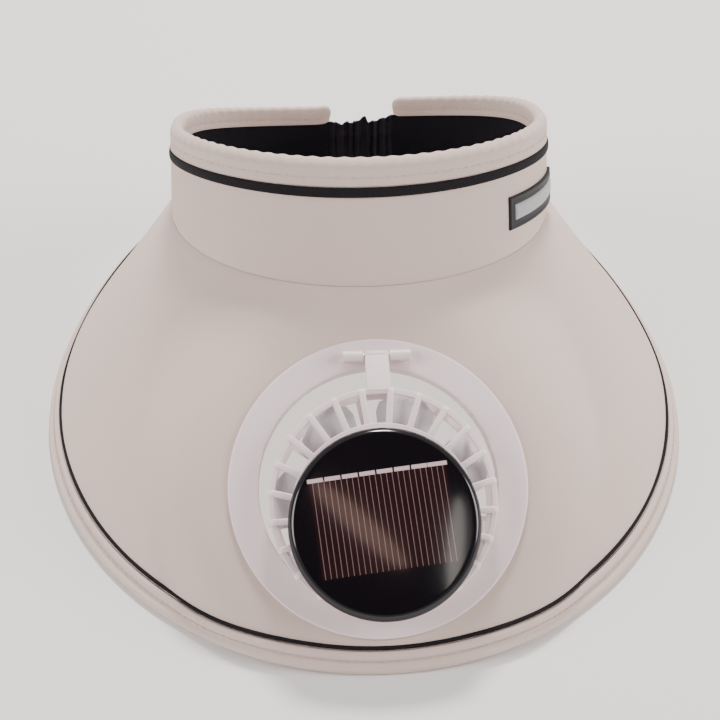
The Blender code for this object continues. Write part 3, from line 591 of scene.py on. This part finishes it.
def stitch_tree():
    name = "stitches_along_path"
    old = bpy.data.node_groups.get(name)
    if old:
        return old
    tree = bpy.data.node_groups.new(name, "GeometryNodeTree")
    face = tree.interface
    face.new_socket("Geometry", in_out="INPUT", socket_type="NodeSocketGeometry")
    for label in ("Pitch", "Length", "Radius"):
        face.new_socket(label, in_out="INPUT", socket_type="NodeSocketFloat")
    face.new_socket("Look", in_out="INPUT", socket_type="NodeSocketMaterial")
    face.new_socket("Geometry", in_out="OUTPUT", socket_type="NodeSocketGeometry")
    made = {}
    for key, kind in (("in", "NodeGroupInput"), ("curve", "GeometryNodeMeshToCurve"),
                      ("even", "GeometryNodeResampleCurve"), ("ball", "GeometryNodeMeshUVSphere"),
                      ("tangent", "GeometryNodeInputTangent"), ("turn", "FunctionNodeAlignRotationToVector"),
                      ("half", "ShaderNodeMath"), ("size", "ShaderNodeCombineXYZ"),
                      ("copies", "GeometryNodeInstanceOnPoints"), ("real", "GeometryNodeRealizeInstances"),
                      ("smooth", "GeometryNodeSetShadeSmooth"), ("look", "GeometryNodeSetMaterial"),
                      ("out", "NodeGroupOutput")):
        made[key] = tree.nodes.new(kind)
    made["even"].mode = "LENGTH"
    made["turn"].axis = "Z"
    made["half"].operation = "MULTIPLY"
    made["half"].inputs[1].default_value = 0.5
    made["ball"].inputs["Segments"].default_value = 6
    made["ball"].inputs["Rings"].default_value = 5
    links = (("in", "Geometry", "curve", "Mesh"), ("curve", "Curve", "even", "Curve"),
             ("in", "Pitch", "even", "Length"), ("even", "Curve", "copies", "Points"),
             ("ball", "Mesh", "copies", "Instance"), ("tangent", "Tangent", "turn", "Vector"),
             ("turn", "Rotation", "copies", "Rotation"), ("in", "Length", "half", 0),
             ("in", "Radius", "size", "X"), ("in", "Radius", "size", "Y"), ("half", 0, "size", "Z"),
             ("size", "Vector", "copies", "Scale"), ("copies", "Instances", "real", "Geometry"),
             ("real", "Geometry", "smooth", "Geometry"), ("smooth", "Geometry", "look", "Geometry"),
             ("in", "Look", "look", "Material"), ("look", "Geometry", "out", "Geometry"))
    for start, output, end, target in links:
        tree.links.new(made[start].outputs[output], made[end].inputs[target])
    return tree


def stitch_rows(name, paths, pitch, length, radius, look):
    """Rows of thread stitches along open paths, as one plain mesh."""
    points, edges = [], []
    for path in paths:
        first = len(points)
        points += [tuple(point) for point in path]
        edges += [(first + k, first + k + 1) for k in range(len(path) - 1)]
    mesh = bpy.data.meshes.new(name + "_path")
    mesh.from_pydata(points, edges, [])
    guide = bpy.data.objects.new(name + "_path", mesh)
    bpy.context.scene.collection.objects.link(guide)
    step = guide.modifiers.new("stitches", "NODES")
    step.node_group = stitch_tree()
    values = {"Pitch": pitch, "Length": length, "Radius": radius, "Look": look}
    for item in step.node_group.interface.items_tree:
        if item.in_out == "INPUT" and item.name in values:
            step[item.identifier] = values[item.name]
    bpy.context.view_layer.update()
    ready = guide.evaluated_get(bpy.context.evaluated_depsgraph_get())
    threads = bpy.data.meshes.new_from_object(ready)
    guide.modifiers.clear()
    bpy.data.objects.remove(guide, do_unlink=True)
    threads.name = name
    return place(threads, look, "visor", ())


# Settings and operators

class FanVisorSettings(bpy.types.PropertyGroup):
    cloth: FloatVectorProperty(name="Cloth", description="Colour of the cloth", subtype="COLOR", size=3,
                               min=0.0, max=1.0, default=(0.69, 0.545, 0.48))
    plastic: FloatVectorProperty(name="Plastic", description="Colour of the moulded parts", subtype="COLOR",
                                 size=3, min=0.0, max=1.0, default=(0.89, 0.745, 0.765))
    stitch_pitch: FloatProperty(name="Stitch Pitch", description="Distance between stitches on the rim",
                                default=0.0072, min=0.002, unit="LENGTH")
    pucker: FloatProperty(name="Pucker", description="Depth of the puckers between the rim's stitches",
                          default=0.0006, min=0.0, unit="LENGTH")
    weave: FloatProperty(name="Weave", description="Pitch of the cloth's weave", default=0.0007, min=0.0002,
                         unit="LENGTH")


def settings():
    return bpy.context.scene.fan_visor


def shared(name):
    """A material made by the looks operator."""
    found = bpy.data.materials.get(name)
    if not found:
        raise RuntimeError("run the looks operator first: " + name)
    return found


class FANVISOR_OT_looks(bpy.types.Operator):
    """Makes the materials and puts them on the CAD nodes that stay"""
    bl_idname = "fan_visor.looks"
    bl_label = "Looks"

    def execute(self, context):
        chosen = settings()
        cloth_look("cloth", tuple(chosen.cloth), chosen.weave, 0.00007)
        cloth_look("roll_cloth", tuple(value * 0.97 for value in chosen.cloth), chosen.weave, 0.00007)
        cloth_look("lining", (0.004, 0.0036, 0.007), 0.0009, 0.00012, 0.3, 0.8)
        cloth_look("elastic_cloth", (0.016, 0.014, 0.022), 0.0006, 0.00010, 0.3, 0.6)
        cord_look("cord", (0.008, 0.006, 0.008), 0.0011)
        plastic_look("white_moulding", tuple(chosen.plastic))
        plastic_look("blade_moulding", (0.66, 0.64, 0.66), 0.30)
        plastic_look("patch_frame", (0.006, 0.005, 0.007), 0.60)
        plastic_look("patch_face", (0.40, 0.38, 0.40), 0.50)
        cap_look("cap_gloss")
        Look("steel", (0.6, 0.6, 0.6), 0.28, 1.0)
        cloth_look("thread", tuple(value * 0.88 for value in chosen.cloth), 0.0004, 0.00003)
        kept = {"ring_backing": "white_moulding", "hinge_pin": "steel", "cage_back": "white_moulding",
                "motor": "steel", "impeller": "blade_moulding"}
        for node, look in kept.items():
            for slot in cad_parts[node].material_slots:
                slot.material = shared(look)
        return {"FINISHED"}


class FANVISOR_OT_brim(bpy.types.Operator):
    """Makes the brim's cloth, its bound edge and the cord beside the binding"""
    bl_idname = "fan_visor.brim"
    bl_label = "Brim"

    def execute(self, context):
        count = 385
        tops, ends = brim_ends(count)
        line, level, up = edge_frames(tops, ends)
        run = run_lengths(line)
        length = np.linalg.norm(ends - tops, axis=1)
        self.cloth(tops, ends, length, run)
        self.binding(line, level, up, run)
        self.cord(line, level, up, run)
        return {"FINISHED"}

    def cloth(self, tops, ends, length, run):
        last = 1.0 - (BINDING_WIDTH + 0.0006) / length
        shares = np.linspace(0.0, 1.0, 110)
        grid = np.stack([brim_points(tops, ends, last * share) for share in shares], axis=1)
        across = np.gradient(grid, axis=1)
        along = np.gradient(grid, axis=0)
        normal = unit(np.cross(along, across))
        normal = normal * np.sign(normal[:, :, 2:3].mean())
        centre, _, _ = ring_plane(tops, ends)
        u = np.broadcast_to((run - run.mean())[:, None], grid.shape[:2])
        v = length[:, None] * shares[None, :]
        free = smoothstep((np.linalg.norm(grid - centre, axis=2) - 0.070) / 0.03)
        wave = np.sin(u * 31.0 + 1.3) * np.sin(v * 47.0 + 0.4) + 0.6 * np.sin(u * 67.0 + v * 29.0)
        tuck = BRIM_TUCK * np.exp(-(v / BRIM_TUCK_SPREAD) ** 2)
        swell = (BRIM_SWELL * wave * free * smoothstep(v / 0.02) - tuck)[:, :, None] * normal
        half = BRIM_WALL / 2
        loops = np.concatenate([grid + normal * half + swell, (grid - normal * half + swell)[:, ::-1]], axis=1)
        uv = np.stack([u, v], axis=-1)
        uv = np.concatenate([uv, uv[:, ::-1]], axis=1)
        mesh = sheet_mesh("brim_cloth", loops, uv, True, True)
        face_outwards(mesh)
        self.cut_hole(mesh, centre)
        place(mesh, shared("cloth"), "visor", ("brim",), 50)

    def cut_hole(self, mesh, centre):
        """Takes out the faces inside the ring, where its flange and backing cover the edge."""
        middle = Vector(centre)

        def cut(work):
            inner = [face for face in work.faces if (face.calc_center_median() - middle).length < BRIM_CUT_RADIUS]
            bmesh.ops.delete(work, geom=inner, context="FACES")

        edit(mesh, cut)

    def binding(self, line, level, up, run):
        """Bound edge: an outer roll and a flatter inner band with a stitched groove between them."""
        pull = 0.5 + 0.5 * np.cos(2 * math.pi * run / BINDING_PUCKER_PITCH)
        corners = []
        for step in range(13):
            way = BINDING_WIDTH - (BINDING_WIDTH - BINDING_GROOVE) * step / 12
            share = step / 12
            lift = 0.0016 + 0.0005 * math.sin(math.pi * share) - 0.0007 * share ** 8
            if step == 0:
                lift = 0.0009
            corners.append((np.full_like(run, way), lift - 0.0002 * pull * share ** 4))
        radius = BINDING_THICKNESS / 2 - 0.0001
        for step in range(17):
            turn = math.radians(-34 + 214 * step / 16)
            stretch = 1.35 if math.cos(turn) > 0 and step < 5 else 1.0
            way = radius * math.sin(-turn) * stretch
            lift = radius * math.cos(turn)
            corners.append((np.full_like(run, way), np.full_like(run, lift)))
        for step in range(1, 8):
            way = BINDING_WIDTH * step / 7
            corners.append((np.full_like(run, way), np.full_like(run, -0.0019 + 0.0006 * (step / 7) ** 3)))
        rings = [line + level * way[:, None] + up * lift[:, None] for way, lift in corners]
        swept("brim_trim", np.stack(rings, axis=1), run, shared("cloth"), ("brim_binding",))
        path = line + level * BINDING_GROOVE + up * 0.00150
        stitch_rows("brim_stitches", [path], 0.0034, 0.0024, 0.00028, shared("thread"))

    def cord(self, line, level, up, run):
        corners = []
        for turn in np.linspace(0.0, 2 * math.pi, 14, endpoint=False):
            way = BINDING_WIDTH + GAP + BEAD_RADIUS + CORD_RADIUS * math.cos(turn)
            corners.append(line + level * way + up * (BRIM_WALL / 2 - 0.0001 + CORD_RADIUS * math.sin(turn)))
        swept("brim_cord", np.stack(corners, axis=1), run, shared("cord"), ("brim_piping",))


class FANVISOR_OT_crown(bpy.types.Operator):
    """Makes the crown's cloth and lining, its padded rim, the cord under it, the gathered back and the patch"""
    bl_idname = "fan_visor.crown"
    bl_label = "Crown"

    def execute(self, context):
        phi = seam_angles(481, BACK_GAP, BACK_GAP_SIDE)
        run = seam_run(phi)
        self.band(phi, run)
        self.lining(phi, run)
        self.rim(phi, run)
        self.cord(phi, run)
        self.gathers()
        self.patch()
        return {"FINISHED"}

    def band(self, phi, run):
        top = band_top(phi)
        base = seam_height(phi) - HEM_DROP
        rings = []
        for step in range(24):
            share = (step / 23) ** 1.3
            bulge = BAND_BULGE * math.sin(math.pi * share) - HEM_PULL * (1 - share) ** 22
            ripple = BAND_RIPPLE * np.sin(run * 71.0 + share * 3.0) * math.sin(math.pi * share)
            rings.append(crown_point(phi, base + (top - base) * share, -bulge - ripple))
        for step in range(20):
            share = 1 - step / 19
            rings.append(crown_point(phi, base + (top - base) * share, BAND_WALL))
        swept("crown_cloth", np.stack(rings, axis=1), run, shared("cloth"), ("crown_band",))

    def lining(self, phi, run):
        top = band_top(phi)
        low, inner = seam_height(phi), BAND_WALL + GAP
        rings = [crown_point(phi, low + (top - low) * step / 11, inner) for step in range(12)]
        for step in range(24):
            share = 1 - step / 23
            ripple = LINING_RIPPLE * np.sin(run * 93.0 + share * 4.0) * math.sin(math.pi * share)
            rings.append(crown_point(phi, low + (top - low) * share, inner + LINING_WALL + 0.0002 + ripple))
        swept("lining_cloth", np.stack(rings, axis=1), run, shared("lining"), ("crown_lining",))

    def rim(self, phi, run):
        chosen = settings()
        pull = 0.5 + 0.5 * np.cos(2 * math.pi * run / chosen.stitch_pitch)
        radius = ROLL_THICKNESS / 2
        middle = radius - ROLL_PROUD
        high = rim_height(phi)
        near = np.clip(np.minimum(run, run[-1] - run) / ROLL_END, 0.0, 1.0)
        ease = np.sqrt(1.0 - (1.0 - near) ** 2)
        rings = []
        for step in range(21):
            turn = math.pi * step / 20
            lift = radius * math.sin(turn) - radius
            soft = chosen.pucker * pull * (0.6 + 0.4 * abs(math.cos(turn)))
            drop = lift - soft
            rings.append(crown_point(phi, high + drop, middle - (radius - soft * 0.4) * math.cos(turn)))
        for step in range(1, 12):
            share = step / 11
            drop = radius + (ROLL_DEPTH - radius) * share
            dip = RIM_STITCH_DIP * math.exp(-((drop - RIM_STITCH_DROP) / RIM_STITCH_SPREAD) ** 2)
            rings.append(crown_point(phi, high - drop, middle + radius - dip * (0.4 + 0.6 * pull)))
        for step in range(0, 12):
            share = 1 - step / 12
            drop = radius + (ROLL_DEPTH - radius) * share
            dip = RIM_STITCH_DIP * math.exp(-((drop - RIM_STITCH_DROP) / RIM_STITCH_SPREAD) ** 2)
            rings.append(crown_point(phi, high - drop, middle - radius + dip * (0.4 + 0.6 * pull)))
        grid = np.stack(rings, axis=1)
        centre = grid.mean(axis=1, keepdims=True)
        grid = centre + (grid - centre) * (0.25 + 0.75 * ease)[:, None, None]
        piece = swept("rim_pad", grid, run, shared("roll_cloth"), ("top_roll",))
        outer = crown_point(phi, high - RIM_STITCH_DROP, middle - radius + THREAD_SINK)
        inner = crown_point(phi, high - RIM_STITCH_DROP, middle + radius - THREAD_SINK)
        keep = slice(6, -6)
        stitch_rows("rim_stitches", [outer[keep], inner[keep]], chosen.stitch_pitch / 2, 0.0022, 0.00026,
                    shared("thread"))

    def cord(self, phi, run):
        top = band_top(phi)
        rings = []
        for turn in np.linspace(0.0, math.pi, 13):
            height = top - PIPING_HEIGHT / 2 * (1.0 + math.cos(turn))
            proud = GAP + 0.0002 + PIPING_THICKNESS * 0.55 * max(math.sin(turn), 0.0) ** 0.6
            rings.append(crown_point(phi, height, -proud))
        swept("rim_cord", np.stack(rings, axis=1), run, shared("cord"), ("top_piping",))

    def patch(self):
        """Patch on the right side: a black frame with a raised lip round a plain grey face."""
        whole = np.linspace(0.0, math.pi, 2001)
        run = seam_run(whole)
        for name, margin, base, lip, wide, look, node, slot in (
                ("patch_rim", 0.0, GAP, 0.0004, 0.0014, "patch_frame", "side_patch", "patch_black"),
                ("patch_plate", PATCH_BORDER, GAP + 0.0007, -0.0003, 0.0009, "patch_face", "patch_panel",
                 "patch_grey")):
            start, stop = PATCH_FRONT + margin, PATCH_FRONT + PATCH_LENGTH - margin
            spots = np.linspace(start, stop, 121)
            phi = np.interp(spots, run, whole)
            fall = rim_height(phi) - rim_height(np.interp(PATCH_FRONT, run, whole))
            edge = np.minimum(spots - start, stop - spots)
            low, high = PATCH_RISE + margin, PATCH_RISE + PATCH_HEIGHT - margin
            crest = base + 0.0010
            rings = [crown_point(phi, low + fall, -base)]
            rows = [np.linspace(low, low + 2 * wide, 9), np.linspace(high - 2 * wide, high, 9)]
            for height in np.concatenate(rows):
                near = np.minimum(edge, min(height - low, high - height))
                lift = lip * (1.0 - smoothstep((near - wide * 0.6) / (wide * 0.8)))
                round_off = 0.0005 * (1.0 - np.sqrt(1.0 - (1.0 - np.clip(near / 0.0005, 0.0, 1.0)) ** 2))
                rings.append(crown_point(phi, height + fall, -(crest + lift - round_off)))
            rings.append(crown_point(phi, high + fall, -base))
            swept(name, np.stack(rings, axis=1), spots, shared(look), (node,))

    def gathers(self):
        """Gathered strip across the back gap, with an uneven top edge."""
        count = 260
        share = np.linspace(0.0, 1.0, count)
        ends = seam_angles(2, BACK_GAP - 2 * GAP, BACK_GAP_SIDE)
        whole = np.linspace(ends[1], 2 * math.pi + ends[0], 2001)
        run = seam_run(whole)
        phi = np.interp(share * run[-1], run, whole)[::-1]
        top = np.interp(share, *zip(*GATHER_TOPS))
        fade = smoothstep(share / 0.10) * smoothstep((1.0 - share) / 0.10)
        slow = share + 0.012 * np.sin(2 * math.pi * 3 * share)
        fold = np.sin(2 * math.pi * FOLD_COUNT * slow) + 0.35 * np.sin(2 * math.pi * 17 * slow + 0.8)
        middle = (BAND_WALL + GAP + LINING_WALL) / 2
        low = seam_height(phi)
        rings = []
        for side in (1, -1):
            rows = range(14) if side == 1 else range(13, -1, -1)
            for row in rows:
                height = row / 13
                wave = FOLD_DEPTH * fold * fade * (0.55 + 0.45 * height)
                pinch = FOLD_PINCH * np.sin(math.pi * 3 * height) * fade
                half = 0.0008 + 0.0002 * math.sin(math.pi * height)
                rings.append(crown_point(phi, low + (top - low) * height, middle + wave + pinch - side * half))
        along = share * run[-1]
        swept("back_gathers", np.stack(rings, axis=1), along, shared("elastic_cloth"), ("back_elastic",))


class FANVISOR_OT_fan(bpy.types.Operator):
    """Makes the smooth ring with its hinge knuckles, the fan's cage and the domed cap with the cell"""
    bl_idname = "fan_visor.fan"
    bl_label = "Ring, cage and cap"

    def execute(self, context):
        centre, across, up, out = ring_axes()
        low, high = GAP, GAP + FLANGE_THICKNESS
        collar = HOLE_RADIUS + COLLAR_WALL
        profile = [(HOLE_RADIUS, -COLLAR_DEPTH), (HOLE_RADIUS, high - 0.0005)]
        profile += self.fillet(HOLE_RADIUS + 0.0005, high - 0.0005, 0.0005, 180, 90)
        profile += [(HOLE_RADIUS + 0.0020, high), (RING_RADIUS - 0.0016, high)]
        profile += self.fillet(RING_RADIUS - 0.0009, high - 0.0009, 0.0009, 90, 0)
        profile += [(RING_RADIUS, low), (collar, low), (collar, -COLLAR_DEPTH), (HOLE_RADIUS, -COLLAR_DEPTH)]
        ring = turned_mesh("ring", profile, 192, centre, across, up, out)
        weld(ring)
        parts = [ring]
        for side in (-1, 1):
            middle = HINGE_SIDE + side * (ARM_WIDTH / 2 + HINGE_PLAY + KNUCKLE_LENGTH / 2)
            spot = centre + across * middle + up * HINGE_UP + out * HINGE_LEVEL
            knuckle = self.barrel(spot, KNUCKLE_LENGTH, across, up, out)
            weld(knuckle)
            parts.append(knuckle)
            parts.append(self.foot(centre, across, up, out, middle, KNUCKLE_LENGTH / 2 - GAP, high))
        mesh = joined("ring_moulding", parts)
        mesh.shade_smooth()
        place(mesh, shared("white_moulding"), "visor", ("fan_ring",), 40)
        self.cap(centre, across, up, out)
        self.cage(centre, across, up, out)
        return {"FINISHED"}

    def fillet(self, radius, level, size, start, stop):
        turns = np.radians(np.linspace(start, stop, 6))
        return [(radius + size * math.cos(turn), level + size * math.sin(turn)) for turn in turns]

    def foot(self, centre, across, up, out, middle, half, high):
        spread = KNUCKLE_FOOT / 2
        rows = [(-spread - 0.0006, high - GAP), (-spread, high + 0.0008), (-spread + 0.0002, HINGE_LEVEL),
                (spread - 0.0002, HINGE_LEVEL), (spread, high + 0.0008), (spread + 0.0006, high - GAP)]
        grid = np.stack([np.stack([centre + across * (middle + side) + up * (HINGE_UP + y) + out * z
                                   for y, z in rows]) for side in (-half, half)])
        mesh = sheet_mesh("foot", grid, np.zeros((2, len(rows), 2)), True, True)
        face_outwards(mesh)
        return mesh

    def cage(self, centre, across, up, out):
        """Cage front: a band, elbow-shaped round-edged spokes, the cap's seat and the hinge arm."""
        hinge = centre + across * HINGE_SIDE + up * HINGE_UP
        middle = hinge - up * CAGE_DROP
        outer = CAGE_RADIUS - BAND_SET_DOWN
        low, high, soft = CAGE_TOP - SPOKE_DEPTH, CAGE_TOP - BAND_SET_DOWN, 0.0004
        profile = [(outer, low)] + self.fillet(outer - soft, high - soft, soft, 0, 90)
        profile += self.fillet(outer - BAND_WIDTH + soft, high - soft, soft, 90, 180)
        profile += [(outer - BAND_WIDTH, low), (outer, low)]
        seat = [(0.0, low), (SEAT_RADIUS, low)] + self.fillet(SEAT_RADIUS - soft, CAGE_TOP - soft, soft, 0, 90)
        seat.append((0.0, CAGE_TOP))
        parts = [turned_mesh("band", profile, 192, middle, across, up, out),
                 turned_mesh("seat", seat, 160, middle - up * SEAT_OFFSET, across, up, out),
                 self.barrel(hinge + out * HINGE_LEVEL, ARM_WIDTH, across, up, out)]
        for part in parts:
            weld(part)
        for k in range(SPOKE_COUNT):
            turn = math.radians((k + 0.5) * 360.0 / SPOKE_COUNT - SPOKE_TURN)
            elbow = np.array([CAGE_RADIUS * math.sin(turn), CAGE_RADIUS * math.cos(turn)])
            inward = np.array([0.0, -SEAT_OFFSET]) - elbow
            reach = np.linalg.norm(inward) - SEAT_RADIUS + SPOKE_WIDTH
            inward = inward / np.linalg.norm(inward)
            parts.append(self.spoke(middle + across * elbow[0] + up * elbow[1],
                                    across * inward[0] + up * inward[1], out, reach))
        parts.append(self.arm(centre, across, up, out))
        mesh = joined("cage_moulding", parts)
        mesh.shade_smooth()
        place(mesh, shared("white_moulding"), "fan", ("cage_front",), 45)

    def spoke(self, elbow, inward, out, reach):
        """Elbow-shaped bar with round edges, from its foot up and round towards the seat."""
        half, bend = SPOKE_DEPTH / 2, 0.0013
        top = CAGE_TOP - half - 0.0001
        path = [(half, CAGE_FOOT, 0.0), (half, top - bend, 0.0)]
        for step in range(1, 7):
            turn = math.pi / 2 * step / 6
            path.append((half + bend * (1 - math.cos(turn)), top - bend + bend * math.sin(turn), turn))
        path.append((reach, top, math.pi / 2))
        side = np.cross(inward, out)
        section = []
        for corner, (sx, sy) in enumerate(((1, 1), (-1, 1), (-1, -1), (1, -1))):
            for step in range(4):
                turn = math.radians(90 * corner + 30 * step)
                section.append((sx * (SPOKE_WIDTH / 2 - 0.0006) + 0.0006 * math.cos(turn),
                                sy * (half - 0.0006) + 0.0006 * math.sin(turn)))
        rings = []
        for way, level, turn in path:
            point = elbow + inward * way + out * level
            depth = out * math.sin(turn) - inward * math.cos(turn)
            rings.append([point + side * x + depth * y for x, y in section])
        mesh = sheet_mesh("spoke", np.array(rings), np.zeros((len(rings), len(section), 2)), True, True)
        face_outwards(mesh)
        return mesh

    def barrel(self, spot, length, across, up, out):
        half, ends = length / 2, 0.0004
        shape = [(0.0, -half), (BARREL_RADIUS - ends, -half), (BARREL_RADIUS, -half + ends),
                 (BARREL_RADIUS, half - ends), (BARREL_RADIUS - ends, half), (0.0, half)]
        return turned_mesh("barrel", shape, 40, spot, up, out, across)

    def arm(self, centre, across, up, out):
        """Flat arm from the hinge barrel down to the band, with its edges rounded."""
        far = HINGE_UP - CAGE_DROP + CAGE_RADIUS - BAND_SET_DOWN - BAND_WIDTH / 2
        crest = HINGE_LEVEL + BARREL_RADIUS
        side = [(HINGE_UP, crest), (HINGE_UP, crest - ARM_THICKNESS), (far, CAGE_TOP - SPOKE_DEPTH - GAP),
                (far, CAGE_TOP)]
        grid = np.stack([np.stack([centre + across * (HINGE_SIDE + x) + up * y + out * z for y, z in side])
                         for x in (-ARM_WIDTH / 2, ARM_WIDTH / 2)])
        mesh = sheet_mesh("arm", grid, np.zeros((2, 4, 2)), True, True)
        face_outwards(mesh)
        edit(mesh, lambda work: bmesh.ops.bevel(work, geom=list(work.edges), offset=0.0005, segments=3,
                                                profile=0.5, affect="EDGES"))
        return mesh

    def cap(self, centre, across, up, out):
        """Cap with a shallow dome and a rounded rim, on its seat."""
        seat = CAGE_TOP + GAP
        flat = CAP_RADIUS - CAP_EDGE

        def rise(radius):
            return seat + CAP_HEIGHT - CAP_DOME * (radius / flat) ** 2

        profile = [(0.0, seat + CAP_HEIGHT)]
        profile += [(flat * k / 24, rise(flat * k / 24)) for k in range(1, 25)]
        low, high = seat + CAP_FOOT, rise(flat)
        slope = 2 * CAP_DOME / flat
        for step in range(1, 15):
            turn = math.pi / 2 * step / 14
            lift = (high - low) * math.cos(turn) - slope * CAP_EDGE * math.sin(turn) * math.cos(turn)
            profile.append((flat + CAP_EDGE * math.sin(turn), low + lift))
        profile += [(CAP_RADIUS - 0.0006, seat + 0.0010), (CAP_RADIUS - CAP_FOOT, seat), (0.0, seat)]
        spot = centre + across * HINGE_SIDE + up * (HINGE_UP - CAGE_DROP - CAP_OFFSET)
        mesh = turned_mesh("cap_dome", profile, 192, spot, across, up, out)
        weld(mesh)
        mesh.shade_smooth()
        place(mesh, shared("cap_gloss"), "fan", ("solar_cap", "solar_cell"), 60)


class FANVISOR_OT_studio(bpy.types.Operator):
    """Sets the floor, the lights, the surroundings and the camera"""
    bl_idname = "fan_visor.studio"
    bl_label = "Studio"

    def execute(self, context):
        self.floor()
        self.lights()
        self.world()
        self.camera()
        return {"FINISHED"}

    def floor(self):
        mesh = bpy.data.meshes.new("studio_floor")
        side = 4.0
        mesh.from_pydata([(-side, -side, 0), (side, -side, 0), (side, side, 0), (-side, side, 0)], [], [(0, 1, 2, 3)])
        floor = bpy.data.objects.new("studio_floor", mesh)
        bpy.context.scene.collection.objects.link(floor)
        mesh.materials.append(Look("studio_pale", (0.86, 0.85, 0.85), 0.9).material)

    def area(self, name, spot, target, size, turn, power, colour):
        """Elliptical area light turned about its own axis."""
        lamp = bpy.data.lights.new(name, "AREA")
        lamp.shape = "ELLIPSE"
        lamp.size, lamp.size_y = size
        lamp.energy = power
        lamp.color = colour
        item = bpy.data.objects.new(name, lamp)
        item.location = spot
        aim = (Vector(target) - Vector(spot)).to_track_quat("-Z", "Y").to_matrix().to_4x4()
        item.rotation_euler = (aim @ Matrix.Rotation(math.radians(turn), 4, "Z")).to_euler()
        bpy.context.scene.collection.objects.link(item)

    def lights(self):
        """Two narrow panels that the glossy cap reflects, and three lamps for the whole."""
        target = (0.0, -0.05, 0.06)
        cap = (0.0013, -0.123, 0.05)
        self.area("streak", (-0.045, -0.985, 1.29), cap, (0.11, 0.62), 48.0, 0.42, (1.0, 0.64, 0.52))
        self.area("glow", (0.405, -1.03, 1.156), cap, (0.08, 0.46), -25.0, 0.45, (1.0, 0.93, 0.88))
        self.area("key", (0.10, 0.93, 1.45), target, (0.35, 0.35), 0.0, 36.0, (1.0, 0.96, 0.92))
        self.area("left_fill", (-1.3, -0.5, 0.9), target, (0.9, 0.9), 0.0, 17.0, (1.0, 0.97, 0.95))
        self.area("right_fill", (1.3, -0.4, 0.8), target, (0.9, 0.9), 0.0, 18.0, (1.0, 0.97, 0.95))

    def world(self):
        world = bpy.data.worlds.new("studio")
        bpy.context.scene.world = world
        world.use_nodes = True
        tree = world.node_tree
        shade = tree.nodes["Background"]
        where = tree.nodes.new("ShaderNodeTexCoord")
        split = tree.nodes.new("ShaderNodeVectorMath")
        split.operation = "DOT_PRODUCT"
        split.inputs[1].default_value = (0.0, -0.50, 0.866)
        tree.links.new(where.outputs["Generated"], split.inputs[0])
        ramp = tree.nodes.new("ShaderNodeMapRange")
        ramp.interpolation_type = "SMOOTHSTEP"
        ramp.inputs["From Min"].default_value = 0.80
        ramp.inputs["From Max"].default_value = 0.90
        tree.links.new(split.outputs["Value"], ramp.inputs["Value"])
        mix = tree.nodes.new("ShaderNodeMix")
        mix.data_type = "RGBA"
        mix.inputs[6].default_value = (0.95, 0.94, 0.95, 1.0)
        mix.inputs[7].default_value = (0.05, 0.035, 0.035, 1.0)
        tree.links.new(ramp.outputs["Result"], mix.inputs[0])
        tree.links.new(mix.outputs[2], shade.inputs["Color"])
        shade.inputs["Strength"].default_value = 0.54

    def camera(self):
        lens = bpy.data.cameras.new("photo_camera")
        lens.lens = CAMERA_LENS
        lens.sensor_width = 36.0
        lens.dof.use_dof = False
        item = bpy.data.objects.new("photo_camera", lens)
        level = math.cos(CAMERA_ELEVATION)
        back = Vector((math.sin(CAMERA_AZIMUTH) * level, -math.cos(CAMERA_AZIMUTH) * level,
                       math.sin(CAMERA_ELEVATION)))
        item.location = CAMERA_TARGET + back * CAMERA_DISTANCE
        item.rotation_euler = (-back).to_track_quat("-Z", "Y").to_euler()
        bpy.context.scene.collection.objects.link(item)
        bpy.context.scene.camera = item


OPERATORS = (FANVISOR_OT_looks, FANVISOR_OT_brim, FANVISOR_OT_crown, FANVISOR_OT_fan, FANVISOR_OT_studio)


class FANVISOR_PT_panel(bpy.types.Panel):
    bl_idname = "FANVISOR_PT_panel"
    bl_label = "Fan Visor"
    bl_space_type = "VIEW_3D"
    bl_region_type = "UI"
    bl_category = "Fan Visor"

    def draw(self, context):
        for name in FanVisorSettings.__annotations__:
            self.layout.prop(context.scene.fan_visor, name)
        for operator in OPERATORS:
            self.layout.operator(operator.bl_idname)


CLASSES = (FanVisorSettings, *OPERATORS, FANVISOR_PT_panel)


def register():
    for item in CLASSES:
        bpy.utils.register_class(item)
    bpy.types.Scene.fan_visor = PointerProperty(type=FanVisorSettings)


def unregister():
    del bpy.types.Scene.fan_visor
    for item in reversed(CLASSES):
        bpy.utils.unregister_class(item)


def main():
    register()
    bpy.ops.fan_visor.looks()
    bpy.ops.fan_visor.brim()
    bpy.ops.fan_visor.crown()
    bpy.ops.fan_visor.fan()
    bpy.ops.fan_visor.studio()


if __name__ == "__main__":
    main()
